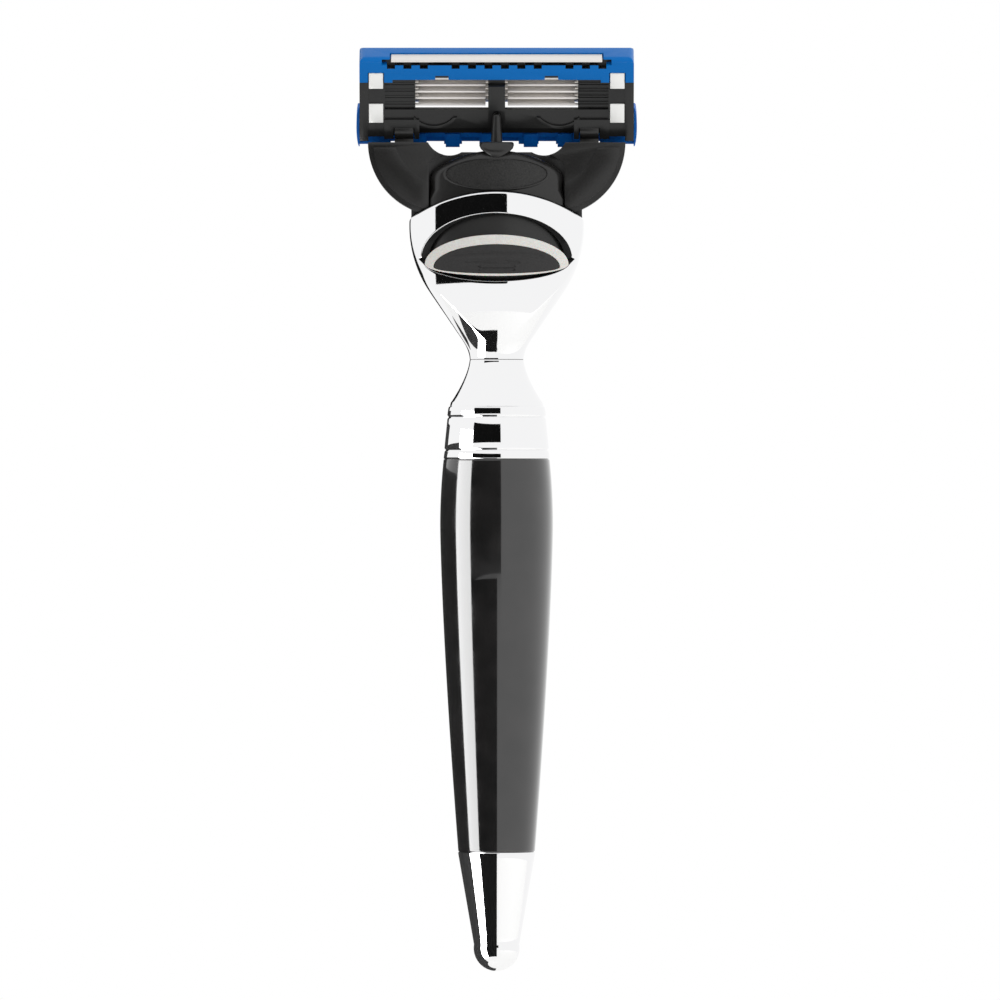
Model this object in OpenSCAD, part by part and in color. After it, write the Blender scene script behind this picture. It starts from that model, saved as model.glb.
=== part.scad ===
// Cartridge razor: turned handle, milled bell head with ejector, pivoting five-blade cartridge.
// +Z runs along the handle towards the cartridge, -Y is the ejector side, +Y the shaving side.
// The origin is on the handle's axis at the narrow neck between ferrule and head.

/* [Handle] */
// Length of the resin barrel
barrel_len = 58.9; // [50:0.1:75]
// Largest diameter of the barrel, at its belly
belly_d = 16.95; // [14:0.05:21]
// Diameter of the barrel at the ferrule
barrel_top_d = 15.9; // [13:0.05:16.9]
// Diameter of the barrel at the tail cap
barrel_end_d = 11.5; // [9.5:0.05:13.8]
// Distance of the belly below the ferrule
belly_drop = 9.9; // [6:0.1:14]
// Length of the tail cap
tail_len = 17.9; // [14:0.1:22]
// Radius of the tail cap's round tip
tail_tip_r = 3.45; // [2.8:0.05:4.2]
// Diameter of the tension rod
rod_d = 5; // [3.5:0.1:6]

/* [Ferrule] */
// Diameter of the neck
neck_d = 8.1; // [7.2:0.1:10]
// Height of the hollow cone below the neck
cone_h = 7; // [5:0.1:9]
// Diameter at the foot of the cone
cone_foot_d = 14.5; // [12:0.1:15.2]
// Height of the band between cone and barrel
band_h = 7.95; // [6:0.05:10]
// Width and depth of the turned grooves
groove = 0.3; // [0.2:0.05:0.5]

/* [Head] */
// Widest radius of the bell
bell_r_max = 13.12; // [12.6:0.01:15.7]
// Height of the widest place above the neck
bell_max_z = 20; // [19:0.1:21]
// Radius of the bell's shoulder arc
bell_arc_r = 17.7; // [16.5:0.1:22]
// Half depth of the head between its milled faces
head_half_depth = 7.2; // [7:0.1:8.6]
// Radius of the milled faces, seen from above
face_bulge_r = 20; // [18:0.5:26]
// Height of the rim at the middle of a face
rim_z = 25.05; // [24.6:0.05:26.5]
// Radius of the arc that the rim is cut to
rim_arc_r = 23.1; // [20:0.1:30]
// Wall of the bell
shell_wall = 1.1; // [0.8:0.05:1.3]

/* [Ejector] */
// Travel of the ejector button
button_travel = 2.5; // [2:0.1:2.7]
// Half width of the window in the bell
window_a = 11.5; // [11:0.1:11.6]
// Height of the window's widest place
window_z = 15; // [14.8:0.1:15.2]
// Rise of the window above that place
window_up = 7.1; // [6.9:0.1:7.2]
// Fall of the window below that place
window_down = 3.6; // [3.4:0.1:4]
// Gap between the ring and the window at each end
ring_gap = 0.75; // [0.5:0.05:1]
// Width of the light ring at each end
ring_w = 1.3; // [1:0.1:1.6]

/* [Cartridge] */
// Half width of the housing
housing_half_w = 20.55; // [20.2:0.05:24.6]
// Tilt of the cartridge from the handle's axis, in degrees
cartridge_tilt = 24; // [18:1:28]
// Largest turn of the cartridge about its bearings, in degrees
pivot_travel = 40; // [20:1:40]
// Thickness from the back plane to the shaving plane
cartridge_t = 6; // [5.8:0.1:7]
// Distance from one blade to the next
blade_pitch = 1.05; // [1:0.01:1.08]
// Width of the clips
clip_w = 2.15; // [1.6:0.05:2.2]
// Radius of the bearing lugs
lug_r = 1.5; // [1.2:0.05:1.8]
// Radius of the plunger's tip
plunger_tip_r = 0.6; // [0.5:0.05:0.7]

/* [Clearances] */
// Running clearance round the bearing lugs and the plunger
run_gap = 0.06; // [0.02:0.01:0.1]
// Gap between pieces that are assembled without force
seat_gap = 0.1; // [0.05:0.01:0.15]

/* [Hidden] */

eps = 0.01;
big = 60;

// Stations down the handle, measured from the neck
cone_z = -cone_h;
barrel_top_z = cone_z - band_h;
barrel_end_z = barrel_top_z - barrel_len;
belly_z = barrel_top_z - belly_drop;
tail_z = barrel_end_z - tail_len;
spigot_r = rod_d / 2 + 1.1;
spigot_l = 4;
rod_bore_r = rod_d / 2 + 0.05;
rod_top_z = 4;
rod_end_z = barrel_end_z - 8;
edge_proud = 0.03;
groove_drop = 1.65;
groove_rise = 1.35;
cone_power = 1.55;
taper_power = 1.4;

function lerp(a, b, t) = a + (b - a) * t;

// Radius of the barrel: a short rise to the belly and a long easy taper below it
function barrel_r(z) = z > belly_z
    ? lerp(belly_d, barrel_top_d, pow((z - belly_z) / belly_drop, 2)) / 2
    : lerp(belly_d, barrel_end_d, pow((belly_z - z) / (barrel_len - belly_drop), taper_power)) / 2;

module bar(x0, x1, y0, y1, z0, z1) {
    translate([x0, y0, z0])
        cube([x1 - x0, y1 - y0, z1 - z0]);
}

module both_sides() {
    children();
    mirror([1, 0, 0])
        children();
}

module x_rod(x0, x1, y, z, r) {
    translate([x0, y, z])
        rotate([0, 90, 0])
            cylinder(h = x1 - x0, r = r, $fn = 48);
}

module handle_barrel() {
    steps = 30;
    color("#1d1c1c")
        difference() {
            rotate_extrude($fn = 96)
                polygon(concat([[0, barrel_end_z]],
                               [for (i = [0:steps])
                                   let (z = barrel_end_z + barrel_len * i / steps)
                                   [barrel_r(z), z]],
                               [[0, barrel_top_z]]));
            translate([0, 0, barrel_end_z - eps])
                cylinder(h = barrel_len + 2 * eps, r = spigot_r + seat_gap, $fn = 48);
        }
}

// The cap is a cone that runs tangent into its round tip
module tail_cap() {
    steps = 12;
    r0 = barrel_end_d / 2 + edge_proud;
    tip_z = tail_z + tail_tip_r;
    rise = barrel_end_z - tip_z;
    lean = atan((r0 - tail_tip_r) / rise);
    color("#e4e4e4")
        difference() {
            union() {
                rotate_extrude($fn = 96)
                    polygon(concat([[0, barrel_end_z], [r0, barrel_end_z]],
                                   [for (i = [0:steps])
                                       let (b = lean + (-90 - lean) * i / steps)
                                       [tail_tip_r * cos(b) * (i == steps ? 0 : 1),
                                        tip_z + tail_tip_r * sin(b)]]));
                translate([0, 0, barrel_end_z - eps])
                    cylinder(h = spigot_l + eps, r = spigot_r, $fn = 48);
            }
            translate([0, 0, rod_end_z - seat_gap])
                cylinder(h = big, r = rod_bore_r, $fn = 48);
        }
}

module tension_rod() {
    color("#8d8a85")
        translate([0, 0, rod_end_z])
            cylinder(h = rod_top_z - rod_end_z, r = rod_d / 2, $fn = 48);
}

// One turned piece: hollow cone, two bands and two grooves
module ferrule() {
    steps = 12;
    lip_r = barrel_top_d / 2;
    groove_1 = cone_z - groove_drop;
    groove_2 = barrel_top_z + groove_rise;
    function cone_r(t) = lerp(neck_d, cone_foot_d, pow(t, cone_power)) / 2;
    function band_r(z) = lerp(cone_foot_d / 2, lip_r, (cone_z - z) / band_h);
    color("#e4e4e4")
        difference() {
            union() {
                rotate_extrude($fn = 96)
                    polygon(concat([[0, 0]],
                                   [for (i = [0:steps]) [cone_r(i / steps), -cone_h * i / steps]],
                                   [[band_r(groove_1 + groove), groove_1 + groove],
                                    [band_r(groove_1) - groove, groove_1],
                                    [band_r(groove_1 - groove), groove_1 - groove],
                                    [band_r(groove_2 + groove), groove_2 + groove],
                                    [band_r(groove_2) - groove, groove_2],
                                    [band_r(groove_2 - groove), groove_2 - groove],
                                    [lip_r, barrel_top_z + groove],
                                    [lip_r - groove, barrel_top_z],
                                    [0, barrel_top_z]]));
                translate([0, 0, barrel_top_z - spigot_l])
                    cylinder(h = spigot_l + 1, r = spigot_r, $fn = 48);
            }
            translate([0, 0, -big])
                cylinder(h = 2 * big, r = rod_bore_r, $fn = 48);
        }
}

// --- Bell head ---
flare_z = 3;
arc_z = 10;
arc_slope = (bell_max_z - arc_z) / sqrt(pow(bell_arc_r, 2) - pow(bell_max_z - arc_z, 2));
arc_foot_r = bell_r_max - bell_arc_r + sqrt(pow(bell_arc_r, 2) - pow(bell_max_z - arc_z, 2));
flare_r = arc_foot_r - arc_slope * (arc_z - flare_z);
flare_power = arc_slope * flare_z / (flare_r - neck_d / 2);
face_foot_z = 1;
face_full_z = 14;
face_foot_y = 4.2;
face_axis_y = face_bulge_r - head_half_depth;
rim_centre_z = rim_z - rim_arc_r;
cavity_floor_z = 5;
window_depth_y = -2.2;

// Radius of the turned bell and half depth between the milled faces
function bell_r(z) = z >= arc_z
    ? bell_r_max - bell_arc_r + sqrt(pow(bell_arc_r, 2) - pow(z - bell_max_z, 2))
    : z >= flare_z
        ? arc_foot_r - arc_slope * (arc_z - z)
        : neck_d / 2 + (flare_r - neck_d / 2) * pow(z / flare_z, flare_power);
function face_y(z) = let (t = min(1, max(0, (z - face_foot_z) / (face_full_z - face_foot_z))))
    head_half_depth - (head_half_depth - face_foot_y) * pow(1 - t, 2);

bell_zs = [0, 3, 10, 13, 16, 20, 27];
face_zs = [0, 1, 4, 8, 14, 27];

module turned(zs, rs, top) {
    rotate_extrude($fn = 96)
        polygon(concat([[0, zs[0]]],
                       [for (i = [0:len(zs) - 1]) [rs[i], zs[i]]],
                       [[0, top]]));
}

// The bell's outer form, or the same form drawn in by a wall
module bell_form(inset) {
    top = bell_zs[len(bell_zs) - 1];
    intersection() {
        turned(bell_zs, [for (z = bell_zs) bell_r(z) - inset], top);
        translate([0, face_axis_y, 0])
            turned(face_zs, [for (z = face_zs) face_axis_y + face_y(z) - inset], top);
        translate([0, -face_axis_y, 0])
            turned(face_zs, [for (z = face_zs) face_axis_y + face_y(z) - inset], top);
    }
}

// Everything below the saddle-shaped rim, lowered by drop
module under_rim(drop) {
    translate([0, 0, rim_centre_z])
        rotate([90, 0, 0])
            cylinder(h = big, r = rim_arc_r - drop, center = true, $fn = 180);
}

// Egg outline in X and Z, with its own rise and fall
module egg(a, up, down) {
    steps = 20;
    polygon(concat([for (i = [0:steps]) let (t = 180 * i / steps) [a * cos(t), up * sin(t)]],
                   [for (i = [1:steps - 1]) let (t = 180 * i / steps) [-a * cos(t), -down * sin(t)]]));
}

module egg_prism(z, a, up, down, y0, y1) {
    translate([0, y1, z])
        rotate([90, 0, 0])
            linear_extrude(height = y1 - y0)
                egg(a, up, down);
}

module head_shell() {
    color("#e8e8e8")
        difference() {
            intersection() {
                bell_form(0);
                under_rim(0);
            }
            intersection() {
                bell_form(shell_wall);
                translate([0, 0, cavity_floor_z])
                    cylinder(h = big, r = big, $fn = 48);
            }
            egg_prism(window_z, window_a, window_up, window_down, -big, window_depth_y);
            translate([0, 0, -eps])
                cylinder(h = rod_top_z + seat_gap + eps, r = rod_bore_r, $fn = 48);
        }
}

// --- Plunger, nose and insert ---
plunger_y = -2.2;
plunger_tip_z = 36.95;
plunger_base_r = 0.85;
plunger_taper_z = 33;
nose_half_w = 5;
nose_y0 = -4.15;
nose_y1 = 3.4;
nose_top_z = 29.5;
nose_roof = 0.9;
spring_seat_z = 17.8;
flange_top_z = nose_top_z - nose_roof - 0.2;
flange_h = 1.4;
flange_r = 1.5;
well_r = flange_r + 0.12;
column_half_w = 4.3;
column_foot_z = 16.4;
sled_floor_z = 10.3;
sled_bar_h = 1.5;
sled_foot_z = sled_floor_z + 0.1;
sled_bar_y1 = -0.4;
prong_z = 19.8;
sled_x0 = 5.6;
sled_x1 = 7.4;
sled_y1 = 1;
insert_inset = shell_wall + seat_gap;
insert_drop = 2.9;
core_y = -1.4;
sled_room = 0.3;
column_y1 = 1.6;
nose_foot_z = 19;

module head_insert() {
    color("#2b2a2a")
        difference() {
            union() {
                difference() {
                    intersection() {
                        bell_form(insert_inset);
                        under_rim(insert_drop);
                        bar(-big, big, -big, big, cavity_floor_z + seat_gap, big);
                    }
                    // Room for the button, the sled and their travel
                    bar(-big, big, -big, core_y, sled_floor_z, big);
                    bar(-sled_x1 - sled_room, sled_x1 + sled_room, core_y - 1, sled_y1 + sled_room,
                        sled_floor_z, big);
                    bar(-big, big, -big, nose_y0 - 0.25, sled_floor_z - 1, big);
                }
                bar(-column_half_w, column_half_w, nose_y0, column_y1, column_foot_z, nose_foot_z + 1);
                bar(-nose_half_w, nose_half_w, nose_y0, nose_y1, nose_foot_z, nose_top_z);
            }
            translate([0, plunger_y, spring_seat_z])
                cylinder(h = nose_top_z - nose_roof - spring_seat_z, r = well_r, $fn = 48);
            translate([0, plunger_y, spring_seat_z])
                cylinder(h = big, r = plunger_base_r + run_gap, $fn = 48);
        }
}

module plunger() {
    color("#2b2a2a")
        translate([0, plunger_y, 0])
            rotate_extrude($fn = 48)
                polygon([[0, flange_top_z - flange_h],
                         [flange_r, flange_top_z - flange_h],
                         [flange_r, flange_top_z],
                         [plunger_base_r, flange_top_z],
                         [plunger_base_r, plunger_taper_z],
                         [plunger_tip_r, plunger_tip_z - 0.6],
                         [plunger_tip_r * 0.8, plunger_tip_z - 0.25],
                         [plunger_tip_r * 0.4, plunger_tip_z - 0.05],
                         [0, plunger_tip_z]]);
}

// Springs: radius of the coil, of the wire, and the ends' clearance
plunger_coil_r = 1.3;
plunger_wire_r = 0.18;
button_coil_r = 1.6;
button_wire_r = 0.16;
coil_end_gap = 0.02;

// Round wire wound on a helix with level ends
module coil(x, y, z0, z1, r, wire, turns) {
    per_turn = 14;
    sides = 6;
    rings = turns * per_turn;
    run = z1 - z0 - 2 * wire;
    points = [for (i = [0:rings], j = [0:sides - 1])
        let (turn = 360 * i / per_turn, side = 360 * j / sides)
        [(r + wire * cos(side)) * cos(turn),
         (r + wire * cos(side)) * sin(turn),
         z0 + wire + run * i / rings + wire * sin(side)]];
    walls = [for (i = [0:rings - 1], j = [0:sides - 1])
        let (a = i * sides + j, b = i * sides + (j + 1) % sides)
        [a, a + sides, b + sides, b]];
    ends = [[for (j = [0:sides - 1]) j],
            [for (j = [0:sides - 1]) rings * sides + sides - 1 - j]];
    translate([x, y, 0])
        polyhedron(points, concat(walls, ends), convexity = 8);
}

module plunger_spring() {
    color("#b8b4ae")
        coil(0, plunger_y, spring_seat_z + coil_end_gap, flange_top_z - flange_h - coil_end_gap,
             plunger_coil_r, plunger_wire_r, 7);
}

module button_spring() {
    color("#b8b4ae")
        coil(0, plunger_y, sled_foot_z + sled_bar_h + coil_end_gap, column_foot_z - coil_end_gap,
             button_coil_r, button_wire_r, 4);
}

// --- Ejector button ---
ring_z = 14.2;
ring_a = window_a - ring_gap;
ring_up = 4.4;
ring_down = 1.8;
pad_z = 13.75;
pad_a = ring_a - ring_w;
pad_up = 3.4;
pad_down = 1;
plate_out_y = 5.9;
plate_in_y = 5;
plate_edge_y = -2.5;
pad_floor = 0.5;
face_lip_y = 8.6;
face_top_y = 7.3;
ring_proud = 0.35;
plate_foot_z = 10.4;
plate_half_w = 10.4;
plate_gap = 0.25;
ring_depth = 1.1;
groove_up = 0.28;

// Solid between two radii about the axis of the milled face, leaning from the lip to the top
module face_ring(y_in, y_lip, y_top, z0, z1) {
    translate([0, face_axis_y, 0])
        rotate_extrude($fn = 180)
            polygon([[face_axis_y + y_in, z0],
                     [face_axis_y + y_lip, z0],
                     [face_axis_y + y_top, z1],
                     [face_axis_y + y_in, z1]]);
}

// The button's leaning face between the lip and the ring's top, drawn in by depth
module leaning(depth, behind) {
    lip_z = ring_z - ring_down;
    top_z = ring_z + ring_up;
    face_ring(behind, face_lip_y - depth, face_top_y - depth, lip_z - eps, top_z + eps);
}

module ejector_button() {
    color("#2f2e2d")
        difference() {
            union() {
                intersection() {
                    leaning(ring_proud, plate_in_y);
                    egg_prism(ring_z, ring_a, ring_up, ring_down, -big, plate_edge_y);
                }
                intersection() {
                    face_ring(plate_in_y, plate_out_y, plate_out_y, plate_foot_z, rim_z);
                    bell_form(shell_wall + plate_gap);
                    under_rim(button_travel + 0.4);
                    bar(-plate_half_w, plate_half_w, -big, plate_edge_y, 0, big);
                }
            }
            // Pocket for the pad
            intersection() {
                egg_prism(pad_z, pad_a, pad_up, pad_down, -big, 0);
                leaning(-1, plate_in_y + pad_floor);
            }
        }
}

// Light soft ring round the pad, proud of the button
module button_ring() {
    color("#d8d6d0")
        difference() {
            intersection() {
                leaning(0, face_top_y - ring_depth);
                egg_prism(ring_z, ring_a, ring_up, ring_down, -big, 0);
            }
            leaning(ring_proud, 0);
            egg_prism(pad_z, pad_a, pad_up, pad_down, -big, 0);
        }
}

// Soft pad with three shallow grooves for the thumb
module thumb_pad() {
    color("#3b3a3a")
        difference() {
            intersection() {
                leaning(0.05, plate_in_y + pad_floor + 0.02);
                egg_prism(pad_z, pad_a, pad_up, pad_down, -big, 0);
            }
            for (i = [0:2])
                intersection() {
                    difference() {
                        leaning(-1, 0);
                        leaning(0.3, 0);
                    }
                    egg_prism(16.1 - 0.9 * i, 6.6 - 1.4 * i, groove_up, groove_up, -big, 0);
                }
        }
}

module ejector_sled() {
    color("#3a3938")
        intersection() {
            union() {
                both_sides()
                    bar(sled_x0, sled_x1, -big, sled_y1, sled_foot_z, prong_z);
                bar(-sled_x1, sled_x1, -big, sled_bar_y1, sled_foot_z, sled_foot_z + sled_bar_h);
            }
            // The back of the sled follows the inside of the button
            translate([0, face_axis_y, 0])
                cylinder(h = big, r = face_axis_y + plate_in_y - 0.02, $fn = 180);
        }
}

// --- Connector: yoke with bearing lugs, and cap with an oval badge ---
pivot_y = 0.5;
pivot_z = 34.4;
pivot_depth = 1.6;
hub_half_w = bell_r_max + 0.08;
dome_r = 17;
dome_z = 31.55;
arm_r = 11;
arm_x = 8.3;
arm_z = 32.5;
arm_top_z = 32.5;
arm_inner_x = 12.1;
arm_t = 5;
arm_foot_z = 21;
arm_cut_x = arm_inner_x - 5;
arm_cut_z = dome_z + 2.6;
arm_cut_r = 3.6;
ridge_h = 0.7;
ridge_x = 7;
ridge_z = 34.5;
ridge_r = 8.6;
lug_neck = 0.7;
lug_neck_h = 1.5;
lug_x0 = 12.5;
lug_x1 = 15.3;
hub_back_y = -5.6;
hub_front_y = 5.8;
hub_split_y = -1.2;
split_gap = 0.02;
yoke_step = 1.2;
cap_half_w = 10.1;
cap_slot_half_w = cap_half_w + seat_gap;
face_half_w = 9.6;
cap_step = 1.3;
crown_y = 14.4;
crown_r = 20;
guide_r = 2.5;
guide_rise = 0.95;
badge_z = 27.6;
badge_a = 7.7;
badge_b = 2.5;
badge_depth = 0.25;

// Outline of the hub's dome above the rim, seen from the ejector side
module dome_outline(inset) {
    difference() {
        intersection() {
            translate([0, dome_z - dome_r])
                circle(r = dome_r - inset, $fn = 120);
            translate([-hub_half_w + inset, 0])
                square([2 * (hub_half_w - inset), big]);
        }
        translate([0, rim_centre_z])
            circle(r = rim_arc_r + seat_gap, $fn = 180);
    }
}

// Outline of one arm, from the hub's shoulder out to the bearing
module arm_outline(inset) {
    difference() {
        intersection() {
            translate([arm_x, arm_z])
                circle(r = arm_r - inset, $fn = 96);
            translate([0, arm_foot_z + inset])
                square([big, arm_top_z - arm_foot_z - 2 * inset]);
        }
        translate([0, rim_centre_z])
            circle(r = rim_arc_r + seat_gap, $fn = 180);
        translate([-eps, dome_z - 0.5])
            square([arm_cut_x, big]);
        translate([arm_cut_x, arm_cut_z])
            circle(r = arm_cut_r, $fn = 64);
    }
}

module slab(y0, y1) {
    translate([0, y1, 0])
        rotate([90, 0, 0])
            linear_extrude(height = y1 - y0)
                children();
}

module nose_socket() {
    bar(-nose_half_w - seat_gap, nose_half_w + seat_gap, nose_y0 - seat_gap, nose_y1 + seat_gap,
        -big, nose_top_z + seat_gap);
}

module yoke() {
    color("#343332")
        difference() {
            union() {
                intersection() {
                    slab(hub_split_y, hub_front_y)
                        dome_outline(0);
                    bell_form(0);
                }
                slab(hub_split_y, hub_front_y - yoke_step)
                    dome_outline(0.4);
                both_sides() {
                    slab(-arm_t / 2, arm_t / 2)
                        arm_outline(0);
                    slab(-arm_t / 2 - ridge_h, arm_t / 2 - 0.5)
                        difference() {
                            arm_outline(0.8);
                            translate([ridge_x, ridge_z])
                                circle(r = ridge_r, $fn = 64);
                        }
                    // Neck and round bearing lug
                    bar(lug_x0, lug_x1, pivot_y - lug_neck, pivot_y + lug_neck,
                        arm_top_z - lug_neck_h, pivot_z);
                    x_rod(lug_x0, lug_x1, pivot_y, pivot_z, lug_r);
                }
            }
            nose_socket();
            slab(hub_back_y - 1, hub_split_y + eps)
                intersection() {
                    dome_outline(-1);
                    translate([-cap_slot_half_w, 0])
                        square([2 * cap_slot_half_w, big]);
                }
        }
}

module connector_cap() {
    color("#383736")
        difference() {
            union() {
                slab(hub_back_y + cap_step, hub_split_y - split_gap)
                    intersection() {
                        dome_outline(0.35);
                        translate([-cap_half_w, 0])
                            square([2 * cap_half_w, big]);
                    }
                // Crowned front carrying the badge
                intersection() {
                    slab(hub_back_y, hub_split_y - split_gap)
                        intersection() {
                            dome_outline(1);
                            translate([-face_half_w, 0])
                                square([2 * face_half_w, big]);
                        }
                    translate([0, crown_y, 0])
                        cylinder(h = big, r = crown_r, $fn = 180);
                }
                // Raised guide for the plunger
                intersection() {
                    translate([0, plunger_y, 0])
                        cylinder(h = dome_z + guide_rise, r = guide_r, $fn = 48);
                    bar(-big, big, hub_back_y, hub_split_y - split_gap, dome_z - 1.5, big);
                }
            }
            nose_socket();
            translate([0, plunger_y, 0])
                cylinder(h = big, r = plunger_base_r + 2 * run_gap, $fn = 48);
            egg_prism(badge_z, badge_a, badge_b, badge_b, -big, hub_back_y + badge_depth);
        }
}

// --- Cartridge, drawn flat: X across, Y from the back plane to the skin, Z from guard to cap ---
module on_pivot() {
    translate([0, pivot_y, pivot_z])
        rotate([cartridge_tilt, 0, 0])
            translate([0, -pivot_depth, 0])
                children();
}

wall_x = housing_half_w - 1.3;
clip_x0 = housing_half_w - 3.55;
clip_x1 = clip_x0 + clip_w;
block_x = clip_x0 - 0.25;
blade_half_w = clip_x0 + 1.2;
comb_t = 0.3;
end_foot_u = -1.2;
panel_u0 = 0.55;
panel_u1 = 3.6;
shell_u0 = 8.35;
shell_u1 = 12.15;
bridge_half_w = 1.27;
clip_t = 0.25;
clip_low_u = 2;
clip_high_u = 9.6;
blade_u0 = 3.95;
leg_half_w = block_x - 5.05;
leg_n0 = 2.05;
leg_n1 = 5.2;
foot_half_w = block_x - 0.55;
support_t = 0.28;
blade_t = 0.1;
blade_lean = 22;
platform_n = leg_n1 - 0.15;
platform_w = 0.75;
finger_x0 = leg_half_w + 0.5;
guard_n0 = 3.6;
guard_half_w = block_x - 0.1;
guard_low_u = -3.1;
trimmer_half_w = block_x - 0.95;
strip_half_w = block_x - 0.25;
bearing_x0 = 11.6;
clip_gap = 0.08;
overlap = 0.1;
wall_n0 = 0.2;
wall_n1 = 5.2;
front_n1 = 5.2;
comb_n1 = 4;
finger_half_h = 0.3;
shell_foot_u = shell_u0 - seat_gap;
rib_x = 9.4;
rib_u = 4.9;
rib_r = 4.2;
rib_t = 0.45;

function blade_u(i) = blade_u0 + blade_pitch * (i - 1);

module clip_slots() {
    both_sides() {
        for (u = [clip_low_u - clip_t, clip_high_u])
            bar(clip_x0 - clip_gap, clip_x1 + clip_gap, -1, cartridge_t + 1,
                u - clip_gap, u + clip_t + clip_gap);
    }
}

module bearing_recess() {
    both_sides() {
        x_rod(lug_x0 - 0.15, lug_x1 + 0.15, pivot_depth, 0, lug_r + run_gap);
        // Swing room for the neck, from the rest angle to the full turn
        for (turn = [-cartridge_tilt, -cartridge_tilt - pivot_travel / 2, -cartridge_tilt - pivot_travel])
            translate([0, pivot_depth, 0])
                rotate([turn, 0, 0])
                    bar(lug_x0 - 0.15, lug_x1 + 0.15, -0.95, 0.95, -6, 0);
    }
}

module cartridge_housing() {
    color("#262525")
        on_pivot()
            difference() {
                union() {
                    both_sides() {
                        // End wall, the block that the clip wraps, and the corner below it
                        bar(wall_x, housing_half_w, wall_n0, wall_n1, end_foot_u, shell_foot_u);
                        bar(block_x, wall_x + overlap, 0.55, 2.2, -0.6, shell_foot_u);
                        bar(block_x, wall_x + overlap, 2.1, 5.1, -0.65, 1.1);
                        // Bearing block and its web
                        bar(bearing_x0, block_x + overlap, 0.3, 3.45, -0.9, 2.2);
                        // Moulded spring fingers, and the comb that parts the blades
                        for (i = [1:5])
                            bar(finger_x0, block_x + overlap, 1.4, 1.8,
                                blade_u(i) - finger_half_h, blade_u(i) + finger_half_h);
                        for (i = [0:5])
                            bar(finger_x0, block_x + overlap, 1.45, comb_n1,
                                blade_u(i + 0.5) - comb_t / 2, blade_u(i + 0.5) + comb_t / 2);
                        // Swooping rib on the back of the lower panel
                        translate([rib_x, 0, 0])
                            intersection() {
                                translate([0, 1.4, rib_u])
                                    rotate([90, 0, 0])
                                        difference() {
                                            cylinder(h = 1, r = rib_r, $fn = 64);
                                            translate([0, 0, -1])
                                                cylinder(h = 3, r = rib_r - rib_t, $fn = 64);
                                        }
                                bar(-4.3, 3, -0.5, 3, 0.65, 2.5);
                            }
                    }
                    // Lower panel, its floor, and the front bar that carries the guard
                    bar(-block_x - overlap, block_x + overlap, 0.95, 1.85, panel_u0, panel_u1);
                    bar(-block_x - overlap, block_x + overlap, 1.75, 3.2, panel_u0 + 0.9, panel_u0 + 1.75);
                    bar(-wall_x - overlap, wall_x + overlap, 2.95, guard_n0 - seat_gap,
                        -1, panel_u0 + 1.8);
                    // Upper bar under the cap
                    bar(-wall_x - overlap, wall_x + overlap, 1.6, 4.95, blade_u(5) + 0.35, shell_u0 + 1.1);
                    // Bridge with the cam end that the plunger presses
                    bar(-bridge_half_w, bridge_half_w, 0.6, 1.9, panel_u0 + 0.1, shell_u0 + 0.35);
                    bar(-bridge_half_w, bridge_half_w, -0.75, 0.7, 4.1, shell_u0 - 0.35);
                }
                clip_slots();
                bearing_recess();
            }
}

// Blue cap: back skirt with the trimmer's comb, top face and front land for the strip
module cap_shell() {
    notch_pitch = 2.46;
    notch_w = 1.2;
    comb_u = 10.6;
    groups = [-2.5, -1.5, -0.5, 0.5, 1.5, 2.5];
    outer_x = 10.9;
    edge_r = 1.2;
    front_n = 5.5;
    seat_n = 4.6;
    eye_x = 8.2;
    eye_half_w = 1;
    skirt_half_w = block_x - 1.15;
    color("#0068b0")
        on_pivot()
            difference() {
                union() {
                    difference() {
                        bar(-housing_half_w, housing_half_w, 0, front_n, shell_u0, shell_u1 - 0.5);
                        bar(-wall_x + 1, wall_x - 1, 0.9, 4.3, shell_u0 - 1, shell_u0 + 2);
                        bar(-wall_x - 0.2, wall_x + 0.2, 1.5, 5.05, shell_u0 - 1, shell_u0 + 1.2);
                    }
                    x_rod(-housing_half_w, housing_half_w, edge_r, shell_u1 - edge_r, edge_r);
                    x_rod(-housing_half_w, housing_half_w, front_n - edge_r, shell_u1 - edge_r, edge_r);
                    bar(-housing_half_w, housing_half_w, edge_r, front_n - edge_r,
                        shell_u1 - edge_r, shell_u1);
                }
                // Skirt is shorter between the clips, with two small windows
                bar(-skirt_half_w, skirt_half_w, -1, 0.9, shell_u0 - 1, shell_u0 + 0.45);
                both_sides()
                    bar(eye_x - eye_half_w, eye_x + eye_half_w, -1, 1.2, shell_u0 - 1, shell_u0 + 1.1);
                // Comb slot and its notches
                bar(-trimmer_half_w - 1.4, trimmer_half_w + 1.4, -1, 1.4, comb_u + 0.55, comb_u + 1.3);
                for (k = groups)
                    bar(k * notch_pitch - notch_w / 2, k * notch_pitch + notch_w / 2,
                        -1, 1.4, comb_u, comb_u + 1);
                both_sides()
                    for (k = [0:2])
                        bar(outer_x + k * notch_pitch - notch_w / 2, outer_x + k * notch_pitch + notch_w / 2,
                            -1, 1.4, comb_u, comb_u + 1);
                // Seats for the trimmer blade and the lubricating strip
                bar(-trimmer_half_w - 0.2, trimmer_half_w + 0.2, -1, 2.5, shell_u1 - 0.5, shell_u1 + 1);
                bar(-strip_half_w - seat_gap, strip_half_w + seat_gap, seat_n, cartridge_t + 1,
                    shell_u0 + 1.25, shell_u1 - 0.7);
                // Notches for the clips
                both_sides()
                    bar(clip_x0 - 0.15, clip_x1 + 0.15, -1, 0.6,
                        shell_u0 - 1, clip_high_u + clip_t + clip_gap);
                clip_slots();
            }
}

module trimmer_blade() {
    color("#d9d2cc")
        on_pivot()
            bar(-trimmer_half_w, trimmer_half_w, -0.1, 2.4, shell_u1 - 0.46, shell_u1 - 0.16);
}

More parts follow.
